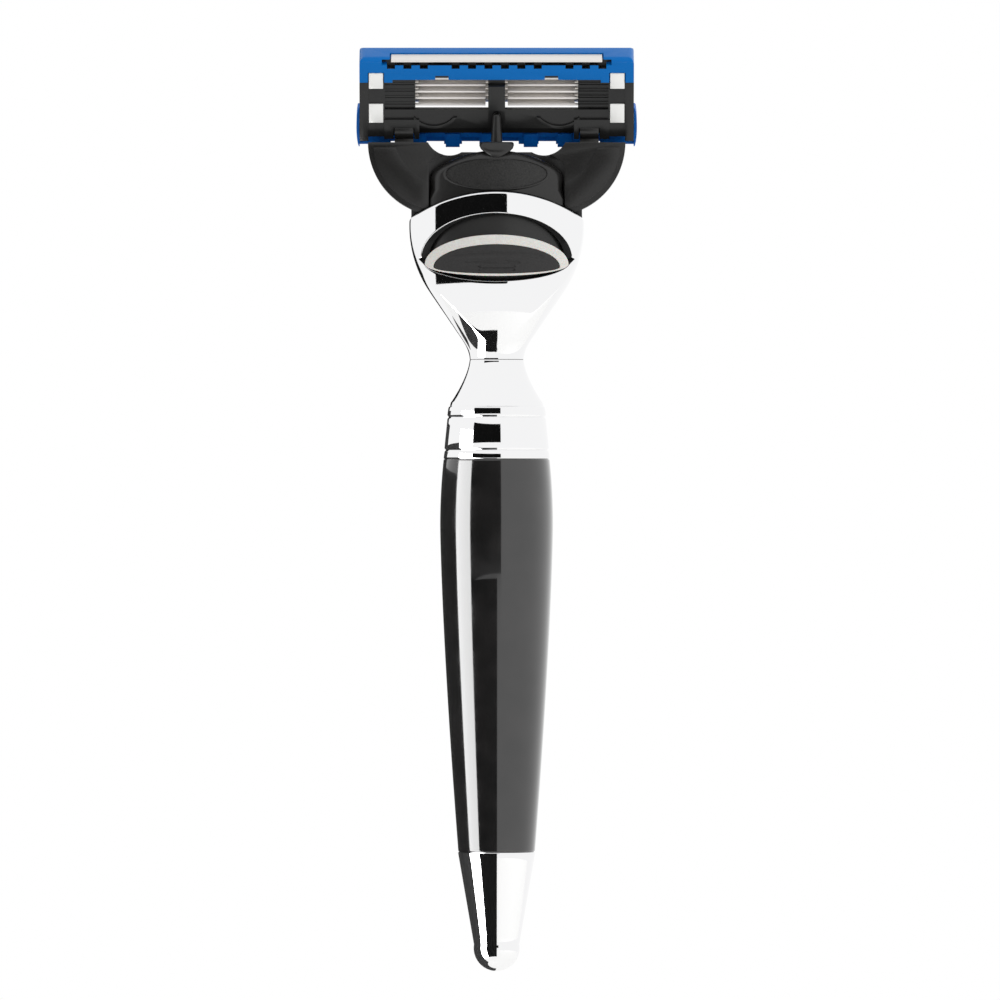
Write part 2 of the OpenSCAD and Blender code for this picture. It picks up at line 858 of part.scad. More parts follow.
// Soft guard: fins on the front bar, hanging bar with blocks, and bulging ends
module guard() {
    end_x = wall_x - 0.25;
    fin_r = 0.3;
    fin_pitch = 0.85;
    color("#0a55a5")
        on_pivot() {
            difference() {
                union() {
                    bar(-guard_half_w, guard_half_w, guard_n0, front_n1, guard_low_u, 1.3);
                    bar(-end_x, end_x, guard_n0, front_n1, guard_low_u, -0.75);
                    for (i = [0:4])
                        x_rod(-guard_half_w, guard_half_w, front_n1, guard_low_u + 0.5 + fin_pitch * i, fin_r);
                    for (x = [-11.7, -6.6, -1.2, 5.1, 10.2])
                        bar(x - 1.05, x + 1.05, guard_n0 - 0.5, guard_n0 + eps, guard_low_u - 0.3, -1.3);
                    both_sides()
                        intersection() {
                            bar(housing_half_w + 0.05, housing_half_w + 0.5, 2.2, 5.3, -2.9, 3.4);
                            x_rod(end_x, housing_half_w + 1.5, 3.2, 0.2, 3.25);
                        }
                    both_sides()
                        bar(end_x - 0.1, housing_half_w + 0.4, guard_n0, front_n1,
                            guard_low_u, end_foot_u - 0.1);
                }
                for (x = [-14.6, -9.2, -3.9, 2, 7.6, 14.2])
                    bar(x - 1.3, x + 1.3, 2, guard_n0 + 1.1, guard_low_u - 1, -2);
            }
        }
}

module lubricating_strip() {
    color("#dfe6ea")
        on_pivot() {
            bar(-strip_half_w, strip_half_w, 4.65, 5.7, shell_u0 + 1.3, shell_u1 - 0.75);
            intersection() {
                x_rod(-strip_half_w, strip_half_w, 4.2, shell_u0 + 2.1, 1.8);
                bar(-strip_half_w, strip_half_w, 5.6, 7, shell_u0 + 1.35, shell_u1 - 0.8);
            }
        }
}

// Band over the blade ends, legs through the housing, and ends folded over at the back
module clip() {
    low_n = 0.2;
    high_n = 0.1;
    low_fold = 2.8;
    high_fold = 2.3;
    color("#f0f0ec")
        on_pivot() {
            bar(clip_x0, clip_x1, cartridge_t - clip_t, cartridge_t,
                clip_low_u - clip_t, clip_high_u + clip_t);
            bar(clip_x0, clip_x1, low_n, cartridge_t, clip_low_u - clip_t, clip_low_u);
            bar(clip_x0, clip_x1, high_n, cartridge_t, clip_high_u, clip_high_u + clip_t);
            bar(clip_x0, clip_x1, low_n, low_n + clip_t, clip_low_u - clip_t, clip_low_u + low_fold);
            bar(clip_x0, clip_x1, high_n, high_n + clip_t, clip_high_u - high_fold, clip_high_u + clip_t);
        }
}

module clip_right() {
    clip();
}

module clip_left() {
    mirror([1, 0, 0])
        clip();
}

// Bent steel support: a leg that slides in the housing and a leaning platform
module support(i) {
    leg_x0 = bridge_half_w + 0.4;
    leg_top = leg_n1 - 0.2;
    foot_h = 0.4;
    strip_h = 0.7;
    color("#cfc9c2")
        on_pivot()
            translate([0, 0, blade_u(i)]) {
                both_sides() {
                    bar(leg_x0, leg_half_w, leg_n0, leg_top, -support_t / 2, support_t / 2);
                    bar(leg_x0, foot_half_w, leg_n0, leg_n0 + foot_h, -support_t / 2, support_t / 2);
                }
                bar(-blade_half_w, blade_half_w, leg_top - strip_h, leg_top, -support_t / 2, support_t / 2);
                translate([0, platform_n, 0])
                    rotate([blade_lean, 0, 0])
                        bar(-blade_half_w + 0.05, blade_half_w - 0.05,
                            -support_t / 2, support_t / 2, -platform_w, 0.06);
            }
}

// Ground strip whose section ends in a bevelled edge
module blade(i) {
    root = 0.1;
    color("#e6e3de")
        on_pivot()
            translate([0, platform_n, blade_u(i)])
                rotate([blade_lean, 0, 0])
                    translate([0, support_t / 2, 0])
                        rotate([0, 90, 0])
                            translate([0, 0, -blade_half_w])
                                linear_extrude(height = 2 * blade_half_w)
                                    polygon([[-root, 0], [-root, blade_t], [platform_w + 0.2, blade_t],
                                             [platform_w + 0.4, 0]]);
}

handle_barrel();
tail_cap();
tension_rod();
ferrule();
head_shell();
head_insert();
ejector_button();
button_ring();
thumb_pad();
ejector_sled();
button_spring();
plunger();
plunger_spring();
yoke();
connector_cap();
cartridge_housing();
cap_shell();
trimmer_blade();
guard();
lubricating_strip();
clip_left();
clip_right();
blade(1);  // blade_1
blade(2);  // blade_2
blade(3);  // blade_3
blade(4);  // blade_4
blade(5);  // blade_5
support(1);  // support_1
support(2);  // support_2
support(3);  // support_3
support(4);  // support_4
support(5);  // support_5
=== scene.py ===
# %% [markdown]
# # A cartridge razor, built around its CAD frame
# The frame holds the razor's real shape, its sizes and its joints. This lesson gives it its looks:
# turned and polished metal, glossy resin, satin mouldings, ground steel and soft plastic. Every
# piece here takes its place from the frame, so nothing has to be fitted by eye. A maker could also
# texture the CAD pieces as they are, but their flat facets would show in polished metal, so the
# visible pieces are modelled again with finer surfaces and rounded edges.

# %% Load the frame
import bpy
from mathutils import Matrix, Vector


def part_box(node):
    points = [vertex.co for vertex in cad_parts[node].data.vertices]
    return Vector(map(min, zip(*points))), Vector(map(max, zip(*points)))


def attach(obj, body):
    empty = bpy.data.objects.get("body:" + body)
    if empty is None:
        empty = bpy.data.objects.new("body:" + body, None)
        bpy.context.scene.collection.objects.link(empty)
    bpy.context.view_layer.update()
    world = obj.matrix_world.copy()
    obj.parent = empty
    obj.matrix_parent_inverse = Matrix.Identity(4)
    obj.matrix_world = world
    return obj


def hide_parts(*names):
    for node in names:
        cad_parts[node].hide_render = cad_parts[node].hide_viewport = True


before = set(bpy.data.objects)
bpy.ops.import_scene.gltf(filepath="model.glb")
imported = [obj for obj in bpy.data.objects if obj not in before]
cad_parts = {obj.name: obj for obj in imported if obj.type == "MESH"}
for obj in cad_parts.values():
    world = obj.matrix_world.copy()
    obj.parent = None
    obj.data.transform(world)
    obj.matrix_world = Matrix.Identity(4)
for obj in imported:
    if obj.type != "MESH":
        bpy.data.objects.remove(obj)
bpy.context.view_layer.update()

# %% Modules and units
from math import acos, atan, copysign, cos, exp, hypot, log, pi, radians, sin, sqrt

import bmesh
import bpy
from mathutils import Matrix, Vector

mm = 0.001
print("one millimetre is", mm, "of Blender's metres")

# %% [markdown]
# ## Finishes
# Each finish is a Principled BSDF with its numbers set on the shader's own sockets, and a few
# procedural nodes for what varies over the surface: grain, brushing, mottling. They all read Object
# coordinates, which are metres here, so a noise scale of 2000 gives spots half a millimetre wide.
# Image textures would need unwrapping and files, and would show seams on turned pieces.

# %% A helper for finishes
def finish(name, color, roughness, metallic=0.0, **more):
    """A new material with a Principled BSDF, whose own sockets take the numbers."""
    material = bpy.data.materials.new(name)
    material.use_nodes = True
    shader = material.node_tree.nodes["Principled BSDF"]
    shader.inputs["Base Color"].default_value = (*color, 1)
    shader.inputs["Roughness"].default_value = roughness
    shader.inputs["Metallic"].default_value = metallic
    for socket, value in more.items():
        shader.inputs[socket.replace("_", " ")].default_value = value
    return material


def pattern(material, scale, stretch=(1, 1, 1), detail=3.0):
    """A noise on Object coordinates, stretched along the axes with small numbers."""
    tree = material.node_tree
    place = tree.nodes.new("ShaderNodeTexCoord")
    mapping = tree.nodes.new("ShaderNodeMapping")
    noise = tree.nodes.new("ShaderNodeTexNoise")
    mapping.inputs["Scale"].default_value = stretch
    noise.inputs["Scale"].default_value = scale
    noise.inputs["Detail"].default_value = detail
    tree.links.new(place.outputs["Object"], mapping.inputs["Vector"])
    tree.links.new(mapping.outputs["Vector"], noise.inputs["Vector"])
    return noise


def vary(material, noise, socket, low, high):
    """Spreads a noise between two values of one socket."""
    tree = material.node_tree
    ramp = tree.nodes.new("ShaderNodeMapRange")
    ramp.inputs["From Min"].default_value = 0.3
    ramp.inputs["From Max"].default_value = 0.7
    ramp.inputs["To Min"].default_value = low
    ramp.inputs["To Max"].default_value = high
    tree.links.new(noise.outputs["Fac"], ramp.inputs["Value"])
    tree.links.new(ramp.outputs["Result"], tree.nodes["Principled BSDF"].inputs[socket])


def tint(material, noise, dark, light):
    """Mottles the base colour between two shades."""
    tree = material.node_tree
    ramp = tree.nodes.new("ShaderNodeValToRGB")
    ramp.color_ramp.elements[0].position = 0.3
    ramp.color_ramp.elements[0].color = (*dark, 1)
    ramp.color_ramp.elements[1].position = 0.7
    ramp.color_ramp.elements[1].color = (*light, 1)
    tree.links.new(noise.outputs["Fac"], ramp.inputs["Fac"])
    tree.links.new(ramp.outputs["Color"], tree.nodes["Principled BSDF"].inputs["Base Color"])


def grain(material, noise, height, strength=1.0):
    """Raises a noise as a fine relief, with its height in metres."""
    tree = material.node_tree
    bump = tree.nodes.new("ShaderNodeBump")
    bump.inputs["Strength"].default_value = strength
    bump.inputs["Distance"].default_value = height
    tree.links.new(noise.outputs["Fac"], bump.inputs["Height"])
    tree.links.new(bump.outputs["Normal"], tree.nodes["Principled BSDF"].inputs["Normal"])


print("finish helpers ready")

# %% [markdown]
# ### Polished metal and resin
# The bright plating is a mirror with a faint haze from handling. The resin is a deep black under a
# hard polished surface: a coat layer gives the sharp reflection, and the body under it is a little
# softer, as cast resin is. Inside the head the plating doesn't reach, and the bore stays dull.

# %% Polished metal and resin
plating = finish("plating", (0.9, 0.9, 0.905), 0.03, 1.0)
vary(plating, pattern(plating, 350), "Roughness", 0.018, 0.045)

dull_bore = finish("dull_bore", (0.018, 0.018, 0.018), 0.6, Specular_IOR_Level=0.2)
vary(dull_bore, pattern(dull_bore, 2500), "Roughness", 0.5, 0.7)

resin = finish("resin", (0.012, 0.012, 0.012), 0.12, Coat_Weight=1.0, Coat_Roughness=0.02)
resin_cloud = pattern(resin, 220)
tint(resin, resin_cloud, (0.009, 0.009, 0.009), (0.016, 0.015, 0.015))
vary(resin, resin_cloud, "Roughness", 0.08, 0.16)
print("plating and resin made")

# %% [markdown]
# ### Moulded plastics
# Satin mouldings take a fine spark-eroded grain from their tool, which breaks up the reflections.
# The blue cap has a faint metallic fleck and a glossier skin. The guard, the ring and the pad are
# soft plastics: rougher, with a little light carried inside the pale and blue ones.

# %% Moulded plastics
satin = finish("satin_moulding", (0.011, 0.0105, 0.010), 0.3, Specular_IOR_Level=0.5)
satin_grain = pattern(satin, 7000, detail=2.0)
tint(satin, satin_grain, (0.008, 0.0078, 0.0075), (0.014, 0.0135, 0.013))
grain(satin, satin_grain, 0.012 * mm, 0.4)

stippled = finish("stippled_moulding", (0.014, 0.0138, 0.0135), 0.4, Specular_IOR_Level=0.4)
stipple = pattern(stippled, 5200, detail=1.0)
tint(stippled, stipple, (0.009, 0.009, 0.0085), (0.022, 0.0215, 0.021))
grain(stippled, stipple, 0.05 * mm, 0.8)

frame_plastic = finish("frame_moulding", (0.009, 0.009, 0.009), 0.28, Specular_IOR_Level=0.4)
frame_grain = pattern(frame_plastic, 9000, detail=2.0)
tint(frame_plastic, frame_grain, (0.006, 0.006, 0.006), (0.012, 0.012, 0.012))
grain(frame_plastic, frame_grain, 0.012 * mm, 0.4)

blue_skin = finish("blue_moulding", (0.0, 0.12, 0.40), 0.3, Specular_IOR_Level=0.12)
blue_fleck = pattern(blue_skin, 12000, detail=2.0)
tint(blue_skin, blue_fleck, (0.0, 0.112, 0.385), (0.0, 0.128, 0.42))
vary(blue_skin, blue_fleck, "Roughness", 0.26, 0.36)

soft_blue = finish("soft_blue", (0.0, 0.10, 0.42), 0.42, Specular_IOR_Level=0.15,
                   Subsurface_Weight=0.15, Subsurface_Scale=0.5 * mm)
soft_blue_cloud = pattern(soft_blue, 3500)
tint(soft_blue, soft_blue_cloud, (0.0, 0.09, 0.38), (0.0, 0.115, 0.46))
grain(soft_blue, soft_blue_cloud, 0.02 * mm, 0.4)

pad_black = finish("pad_black", (0.022, 0.0215, 0.0215), 0.5, Specular_IOR_Level=0.3)
pad_grain = pattern(pad_black, 6000, detail=2.0)
tint(pad_black, pad_grain, (0.018, 0.0175, 0.0175), (0.028, 0.027, 0.027))
grain(pad_black, pad_grain, 0.015 * mm, 0.5)

ring_grey = finish("ring_grey", (0.58, 0.57, 0.54), 0.55, Subsurface_Weight=0.2, Subsurface_Scale=0.4 * mm)
ring_speck = pattern(ring_grey, 5000)
tint(ring_grey, ring_speck, (0.53, 0.52, 0.49), (0.64, 0.63, 0.60))
grain(ring_grey, ring_speck, 0.015 * mm, 0.4)

strip_wax = finish("strip_wax", (0.72, 0.80, 0.86), 0.38, Subsurface_Weight=0.3, Subsurface_Scale=0.5 * mm)
strip_cloud = pattern(strip_wax, 1500)
tint(strip_wax, strip_cloud, (0.66, 0.76, 0.84), (0.78, 0.84, 0.88))
grain(strip_wax, strip_cloud, 0.03 * mm, 0.5)
print("moulded finishes made")

# %% [markdown]
# ### Rolled and ground steel
# Strip steel is brushed along its length. Stretching the noise a hundredfold along X draws the
# fine lines, which vary the roughness and raise a very shallow relief. The clips are soft, bright
# sheet metal with a satin face.

# %% Rolled and ground steel
steel = finish("strip_steel", (0.74, 0.715, 0.69), 0.42, 0.5)
steel_lines = pattern(steel, 9000, stretch=(0.012, 1, 1), detail=2.0)
vary(steel, steel_lines, "Roughness", 0.34, 0.5)
grain(steel, steel_lines, 0.004 * mm, 0.5)

# The supports' steel is a paler, less metallic copy of the strip steel. Its paleness is painted light,
# standing in for the front light that reaches into their deep slots. Its tint follows the real brushing
# lines.
painted_light_steel = finish("painted_light_steel", (0.88, 0.845, 0.81), 0.45, 0.15)
lit_steel_lines = pattern(painted_light_steel, 9000, stretch=(0.012, 1, 1), detail=2.0)
tint(painted_light_steel, lit_steel_lines, (0.82, 0.785, 0.75), (0.93, 0.895, 0.86))

edge_steel = finish("edge_steel", (0.82, 0.80, 0.77), 0.2, 1.0)
edge_lines = pattern(edge_steel, 12000, stretch=(0.012, 1, 1), detail=2.0)
vary(edge_steel, edge_lines, "Roughness", 0.14, 0.28)
grain(edge_steel, edge_lines, 0.003 * mm, 0.5)

clip_metal = finish("clip_metal", (0.78, 0.78, 0.765), 0.4, 0.3)
clip_lines = pattern(clip_metal, 5000, stretch=(1, 0.1, 0.1), detail=2.0)
vary(clip_metal, clip_lines, "Roughness", 0.3, 0.42)
grain(clip_metal, clip_lines, 0.006 * mm, 0.4)
print("steels made")

# %% [markdown]
# ## Modelling helpers
# Three ways of making a mesh cover the razor. Turned pieces are a profile spun about the handle's
# axis. Moulded forms are lofts: closed outlines that the bridge operator joins into a skin. Small
# square-cut mouldings start from a merged copy of the CAD piece, whose sharp edges are rounded with
# a bevel, because a real moulding never has a knife edge.

# %% Finishing a mesh into a piece
def piece_from(bm, name, body, node, material, sharp=35):
    """Turns a bmesh into a smooth-shaded piece that rides a body and stands for a CAD node."""
    bmesh.ops.recalc_face_normals(bm, faces=bm.faces)
    mesh = bpy.data.meshes.new(name)
    bm.to_mesh(mesh)
    bm.free()
    mesh.shade_smooth()
    mesh.set_sharp_from_angle(angle=radians(sharp))
    piece = bpy.data.objects.new(name, mesh)
    bpy.context.scene.collection.objects.link(piece)
    mesh.materials.append(material)
    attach(piece, body)
    if node:
        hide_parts(node)
    return piece


print("piece helper ready")


# %% Turning a profile
def turned(profile, steps=160):
    """A bmesh of a profile of (radius, height) points spun once round the Z axis."""
    bm = bmesh.new()
    verts = [bm.verts.new((r, 0, z)) for r, z in profile]
    edges = [bm.edges.new(pair) for pair in zip(verts, verts[1:])]
    bmesh.ops.spin(bm, geom=verts + edges, cent=(0, 0, 0), axis=(0, 0, 1), angle=2 * pi,
                   steps=steps, use_merge=True)
    bmesh.ops.remove_doubles(bm, verts=bm.verts, dist=1e-8)
    return bm


def arc(center, radius, start, end, steps):
    """Points of an arc, as (first, second) coordinates, with its angles in degrees."""
    turns = [radians(start + (end - start) * i / steps) for i in range(steps + 1)]
    return [(center[0] + radius * cos(a), center[1] + radius * sin(a)) for a in turns]


print("turning helper ready")


# %% Joining outlines into a skin
def ringed(loops):
    """A bmesh with closed outlines, and the edges of each of them."""
    bm = bmesh.new()
    rings = []
    for points in loops:
        verts = [bm.verts.new(p) for p in points]
        rings.append([bm.edges.new((a, b)) for a, b in zip(verts, verts[1:] + verts[:1])])
    return bm, rings


def lofted(loops):
    """A bmesh whose skin runs through closed outlines with equal counts, capped at both ends."""
    bm, rings = ringed(loops)
    for low, high in zip(rings, rings[1:]):
        bmesh.ops.bridge_loops(bm, edges=low + high)
    for ring in (rings[0], rings[-1]):
        bmesh.ops.contextual_create(bm, geom=ring)
    return bm


def banded(loops, gap=None):
    """A skin through outlines and back to the first; a gap after one of them is capped instead."""
    bm, rings = ringed(loops + loops[:1])
    for n, (low, high) in enumerate(zip(rings, rings[1:])):
        if n != gap:
            bmesh.ops.bridge_loops(bm, edges=low + high)
    for ring in rings[gap:gap + 2] if gap is not None else ():
        bmesh.ops.contextual_create(bm, geom=ring)
    bmesh.ops.remove_doubles(bm, verts=bm.verts, dist=1e-7)
    return bm


print("loft helpers ready")


# %% Copying a CAD piece and rounding its edges
same_place = 0.002 * mm


def merged_copy(node):
    """A bmesh of a CAD node, with the triangles of its flat faces merged."""
    bm = bmesh.new()
    bm.from_mesh(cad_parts[node].data)
    bmesh.ops.remove_doubles(bm, verts=bm.verts, dist=same_place)
    bmesh.ops.dissolve_limit(bm, angle_limit=radians(2), verts=bm.verts, edges=bm.edges)
    return bm


def middle_of(edge):
    """The point halfway along an edge."""
    return (edge.verts[0].co + edge.verts[1].co) / 2


def rounded_edges(bm, width, segments=3, least=30, chosen=lambda co: True):
    """Rounds the edges sharper than least degrees whose middle passes a test."""
    edges = [e for e in bm.edges if len(e.link_faces) == 2 and e.calc_face_angle(0) > radians(least)
             and chosen(middle_of(e))]
    bmesh.ops.bevel(bm, geom=edges, offset=width, offset_type="OFFSET", segments=segments,
                    profile=0.5, affect="EDGES", clamp_overlap=True, material=-1)


def rounded_copy(node, width):
    """A merged copy of a CAD node with all its sharp edges rounded."""
    bm = merged_copy(node)
    rounded_edges(bm, width)
    return bm


print("copy helpers ready")

# %% [markdown]
# ## The barrel
# The resin barrel is turned: it swells from the ferrule to a belly and then tapers in one long
# easy curve to the tail. A few CAD cones would band the reflection, so the profile is worked out
# again in fine steps from the same two curves, with a tiny radius where each end meets metal.

# %% Barrel
barrel_low, barrel_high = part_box("handle_barrel")
barrel_top_r = 7.95 * mm
barrel_end_r = 5.75 * mm
belly_r = barrel_high.x
belly_z = barrel_high.z - 9.9 * mm
top_power, tail_power = 2, 1.4
bore_r = 3.7 * mm
end_round = 0.25 * mm


def barrel_r(z):
    """The barrel's radius at a height."""
    if z > belly_z:
        climb = (z - belly_z) / (barrel_high.z - belly_z)
        return belly_r + (barrel_top_r - belly_r) * climb ** top_power
    drop = (belly_z - z) / (belly_z - barrel_low.z)
    return belly_r + (barrel_end_r - belly_r) * drop ** tail_power


heights = [barrel_low.z + end_round + (barrel_high.z - barrel_low.z - 2 * end_round) * i / 120
           for i in range(121)]
profile = [(bore_r, barrel_high.z), (bore_r, barrel_low.z)]
profile += arc((barrel_r(heights[0]) - end_round, heights[0]), end_round, -90, 0, 5)
profile += [(barrel_r(z), z) for z in heights[1:-1]]
profile += arc((barrel_r(heights[-1]) - end_round, heights[-1]), end_round, 0, 90, 5)
profile.append(profile[0])
piece_from(turned(profile), "barrel", "handle", "handle_barrel", resin)
print("barrel from", barrel_low.z, "to", barrel_high.z)

# %% [markdown]
# ## The tail cap
# A plated cone that runs without a break into a round tip, so that it needs no finishing line. The
# cone is tangent to the tip's ball: the angle where they meet follows from the two radii.

# %% Tail cap
tail_low, tail_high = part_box("tail_cap")
tip_r = 3.45 * mm
tip_z = tail_low.z + tip_r
cap_top_z = barrel_low.z
lean = atan((tail_high.x - tip_r) / (cap_top_z - tip_z))
spigot_r = 3.6 * mm
spigot_z = tail_high.z
edge_r = 0.2 * mm
tip_angles = [lean + (-pi / 2 - lean) * i / 40 for i in range(41)]
profile = [(0, spigot_z), (spigot_r, spigot_z), (spigot_r, cap_top_z)]
profile += arc((tail_high.x - edge_r, cap_top_z - edge_r), edge_r, 90, 0, 5)
slant = (tip_r * cos(lean), tip_z + tip_r * sin(lean))
profile += [(profile[-1][0] + (slant[0] - profile[-1][0]) * t / 12,
             profile[-1][1] + (slant[1] - profile[-1][1]) * t / 12) for t in range(1, 12)]
profile += [(tip_r * cos(a), tip_z + tip_r * sin(a)) for a in tip_angles[:-1]]
profile.append((0, tail_low.z))
piece_from(turned(profile), "tail_cap_metal", "handle", "tail_cap", plating)
print("tail cap lean", round(lean * 180 / pi, 2), "degrees")

# %% [markdown]
# ## The ferrule
# One turned piece: a hollow cone that flares from the neck, then a band with two fine grooves. The
# grooves are cut as small V shapes with rounded lips, which is what makes them read as dark
# hairlines between two bright ones.

# %% Ferrule
ferrule_low, ferrule_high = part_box("ferrule")
neck_r = 4.05 * mm
cone_h = 7 * mm
foot_r = 7.25 * mm
lip_r = barrel_top_r
band_low = barrel_high.z
cone_power = 1.55
groove, groove_lip = 0.22 * mm, 0.04 * mm
groove_places = (-cone_h - 1.65 * mm, band_low + 1.35 * mm)
neck_bevel, foot_round, lip_round = 0.1 * mm, 0.35 * mm, 0.2 * mm


def cone_r(depth):
    """The hollow cone's radius at a depth below the neck."""
    return neck_r + (foot_r - neck_r) * (depth / cone_h) ** cone_power


def band_r(z):
    """The band's radius, from the cone's foot down to the lip."""
    return foot_r + (lip_r - foot_r) * (-cone_h - z) / (-cone_h - band_low)


def notch(z):
    """Profile points of one groove, from above to below."""
    return [(band_r(z), z + 1.5 * groove), (band_r(z) - groove_lip, z + groove),
            (band_r(z) - groove, z),
            (band_r(z) - groove_lip, z - groove), (band_r(z), z - 1.5 * groove)]


profile = [(0, 0), (neck_r - neck_bevel, 0), (neck_r, -neck_bevel)]
profile += [(cone_r(d * mm), -d * mm) for d in [0.25 * i for i in range(1, 27)]]
profile += arc((foot_r - foot_round, -cone_h - foot_round), foot_round, 70, 0, 6)
profile += [point for place in groove_places for point in notch(place)]
profile += arc((lip_r - lip_round, band_low + lip_round), lip_round, 0, -90, 5)
profile += [(spigot_r, band_low), (spigot_r, ferrule_low.z), (0, ferrule_low.z)]
piece_from(turned(profile), "ferrule_metal", "handle", "ferrule", plating, sharp=50)
print("ferrule from", ferrule_low.z, "to", ferrule_high.z)

# %% [markdown]
# ## The bell head
# The head starts as a turned bell. Two wide faces, slightly crowned, are then milled on it, and
# where a face meets the turned flank a V-shaped edge runs down to a point above the neck. Polishing
# softens that edge. A soft minimum of the two radii gives both surfaces and the softened edge in
# one formula. Booleans would make the same shape, but their slivers show up in polished metal.

# %% Surface of the bell
shell_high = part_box("head_shell")[1]
bell_max_r = shell_high.x
bell_max_z = 20 * mm
shoulder_r = 17.7 * mm
flank_z = 10 * mm
flare_z = 3 * mm
half_depth = shell_high.y
crown_r = 20 * mm
soft = 0.05 * mm
rim_mid_z = shell_high.z
rim_arc_r = 23.1 * mm
rim_center_z = rim_mid_z - rim_arc_r
flank_run = sqrt(shoulder_r ** 2 - (bell_max_z - flank_z) ** 2)
flank_slope = (bell_max_z - flank_z) / flank_run
flank_r = bell_max_r - shoulder_r + flank_run
flare_r = flank_r - flank_slope * (flank_z - flare_z)
flare_power = flank_slope * flare_z / (flare_r - neck_r)


def bell_r(z):
    """Radius of the turned bell."""
    if z >= flank_z:
        return bell_max_r - shoulder_r + sqrt(shoulder_r ** 2 - (z - bell_max_z) ** 2)
    if z >= flare_z:
        return flank_r - flank_slope * (flank_z - z)
    return neck_r + (flare_r - neck_r) * (max(z, 0) / flare_z) ** flare_power


def rim_height(x):
    """Height of the saddle-shaped rim at a place across the head."""
    return rim_center_z + sqrt(rim_arc_r ** 2 - x ** 2)


print("bell radius at the flank", round(flank_r / mm, 2), "mm")

# %% [markdown]
# The skin itself is a grid, wrapped round the axis like a label round a bottle. Its columns aren't
# spread evenly: they follow the two V-shaped edges, with seven across the soft part of an edge, so it
# never zigzags across the mesh. Its rows bend to follow the outline of the oval window. An inner skin
# is made in the same way, one wall's thickness further in. Rounded lips join the two at the window and
# at the saddle-shaped rim, and a flat ring closes them at the neck.

# %% Wrapping a grid round the axis
wall = 1.1 * mm
window_a, window_z, window_up, window_down = 11.35 * mm, 15 * mm, 6.95 * mm, 3.45 * mm
edge_w = 0.2 * mm
lip = 0.14 * mm
rim_round = 0.3 * mm
face_axis = crown_r - half_depth
face_foot = 4.2 * mm
face_start_z, face_rise = 1 * mm, 13 * mm


def face_depth(z):
    """Distance from the axis to the middle of the milled face, which draws in towards the neck."""
    t = min(1, max(0, (z - face_start_z) / face_rise))
    return half_depth - (half_depth - face_foot) * (1 - t) ** 2


def face_reach(turn, z):
    """Distance from the axis to the milled face, at an angle measured from straight ahead."""
    f = face_depth(z)
    s = abs(cos(turn)) * face_axis
    return sqrt(s * s + f * f + 2 * face_axis * f) - s


def edge_turn(z):
    """Angle from straight ahead at which the milled face ends at a height."""
    f = face_depth(z)
    s = (f * f + 2 * face_axis * f - bell_r(z) ** 2) / (2 * face_axis * bell_r(z))
    return acos(max(-1, min(s, cos(0.04))))


def skin_r(turn, z):
    """Radius of the head, with the edge between flank and face softened."""
    flank, face = bell_r(z), face_reach(turn, z)
    low = min(flank, face)
    return low - soft * log(exp((low - flank) / soft) + exp((low - face) / soft))


def skin_point(turn, z, inset=0.0):
    """A point of the skin, at an angle from straight ahead."""
    r = skin_r(turn, z) - inset
    return Vector((r * sin(turn), -r * cos(turn), z))


print("the face ends", round(skin_point(edge_turn(window_z), window_z).x / mm, 2), "mm from the middle")

# %% Columns and rows of the skin
def even(count, low=-1.0, high=1.0):
    """Evenly spaced values with both ends left out."""
    return [low + (high - low) * i / count for i in range(1, count)]


def column_turn(column, z):
    """Angle of a column at a height: a fixed part, and shares of the edge's angle and its softening."""
    edge = edge_turn(z)
    w = min(edge_w / bell_r(z), 0.45 * edge)
    return column[0] + column[1] * edge + column[2] * w


def crossings(column, a, up, down):
    """Heights at which a column meets a window outline, below and above its widest place."""
    heights = []
    for rise in (-down, up):
        z = window_z
        for _ in range(40):
            x = skin_point(column_turn(column, z), z).x
            z = 0.5 * z + 0.5 * (window_z + rise * sqrt(max(0, 1 - (x / a) ** 2)))
        heights.append(z)
    return heights if heights[1] - heights[0] > 0.02 * mm else [window_z, window_z]


widest = window_a / skin_point(column_turn((0, 1, -1), window_z), window_z).x
face_places = [widest * 0.9998 * -cos(pi * i / 56) for i in range(57)]
columns = [(0, p, -p) for p in [-1] + face_places + [1]] + [(0, 1, q) for q in even(8)]
columns += [(pi * f, 1 - 2 * f, 1 - 2 * f) for f in [0] + even(28, 0) + [1]]
columns += [(pi, -1, q) for q in even(8)] + [(pi, p, -p) for p in [-1] + even(40) + [1]]
columns += [(pi, 1, q) for q in even(8)]
columns += [(pi + pi * f, 1 - 2 * f, 1 - 2 * f) for f in [0] + even(28, 0) + [1]]
columns += [(2 * pi, -1, q) for q in even(8)] + [(2 * pi, -1, 1)]
print(len(columns), "columns round the head, the window reaching", round(widest, 3), "of a face")


# %% One skin of the head
low_row_power = 1.25
rim_guess_z = 21 * mm


def head_skin(bm, inset, trim, rim_drop, low_rows, high_rows):
    """Adds the skin at an inset, with its window smaller by trim and its rim lowered by rim_drop."""
    count = len(columns) - 1
    outline = (window_a - trim, window_up - trim, window_down - trim)
    gates = [crossings(c, *outline) if i <= len(face_places) else [window_z, window_z]
             for i, c in enumerate(columns)]
    for rows, upper in ((low_rows, False), (high_rows, True)):
        grid = bmesh.ops.create_grid(bm, x_segments=count, y_segments=rows, size=0.5)
        for v in grid["verts"]:
            i, t = round((v.co.x + 0.5) * count), v.co.y + 0.5
            if upper:
                z, top = gates[i][1], rim_guess_z
                for _ in range(8):
                    top = rim_height(skin_point(column_turn(columns[i], top), top, inset).x) - rim_drop
                z += (top - z) * t
            else:
                z = gates[i][0] * t ** low_row_power
            v.co = skin_point(column_turn(columns[i], z), z, inset)
    bmesh.ops.remove_doubles(bm, verts=bm.verts, dist=same_place)


print("skin helper ready")


# %% Lips of the window, the rim and the neck
def open_edges(bm, where):
    """Open edges whose middle passes a test."""
    return [e for e in bm.edges if e.is_boundary and where(middle_of(e))]


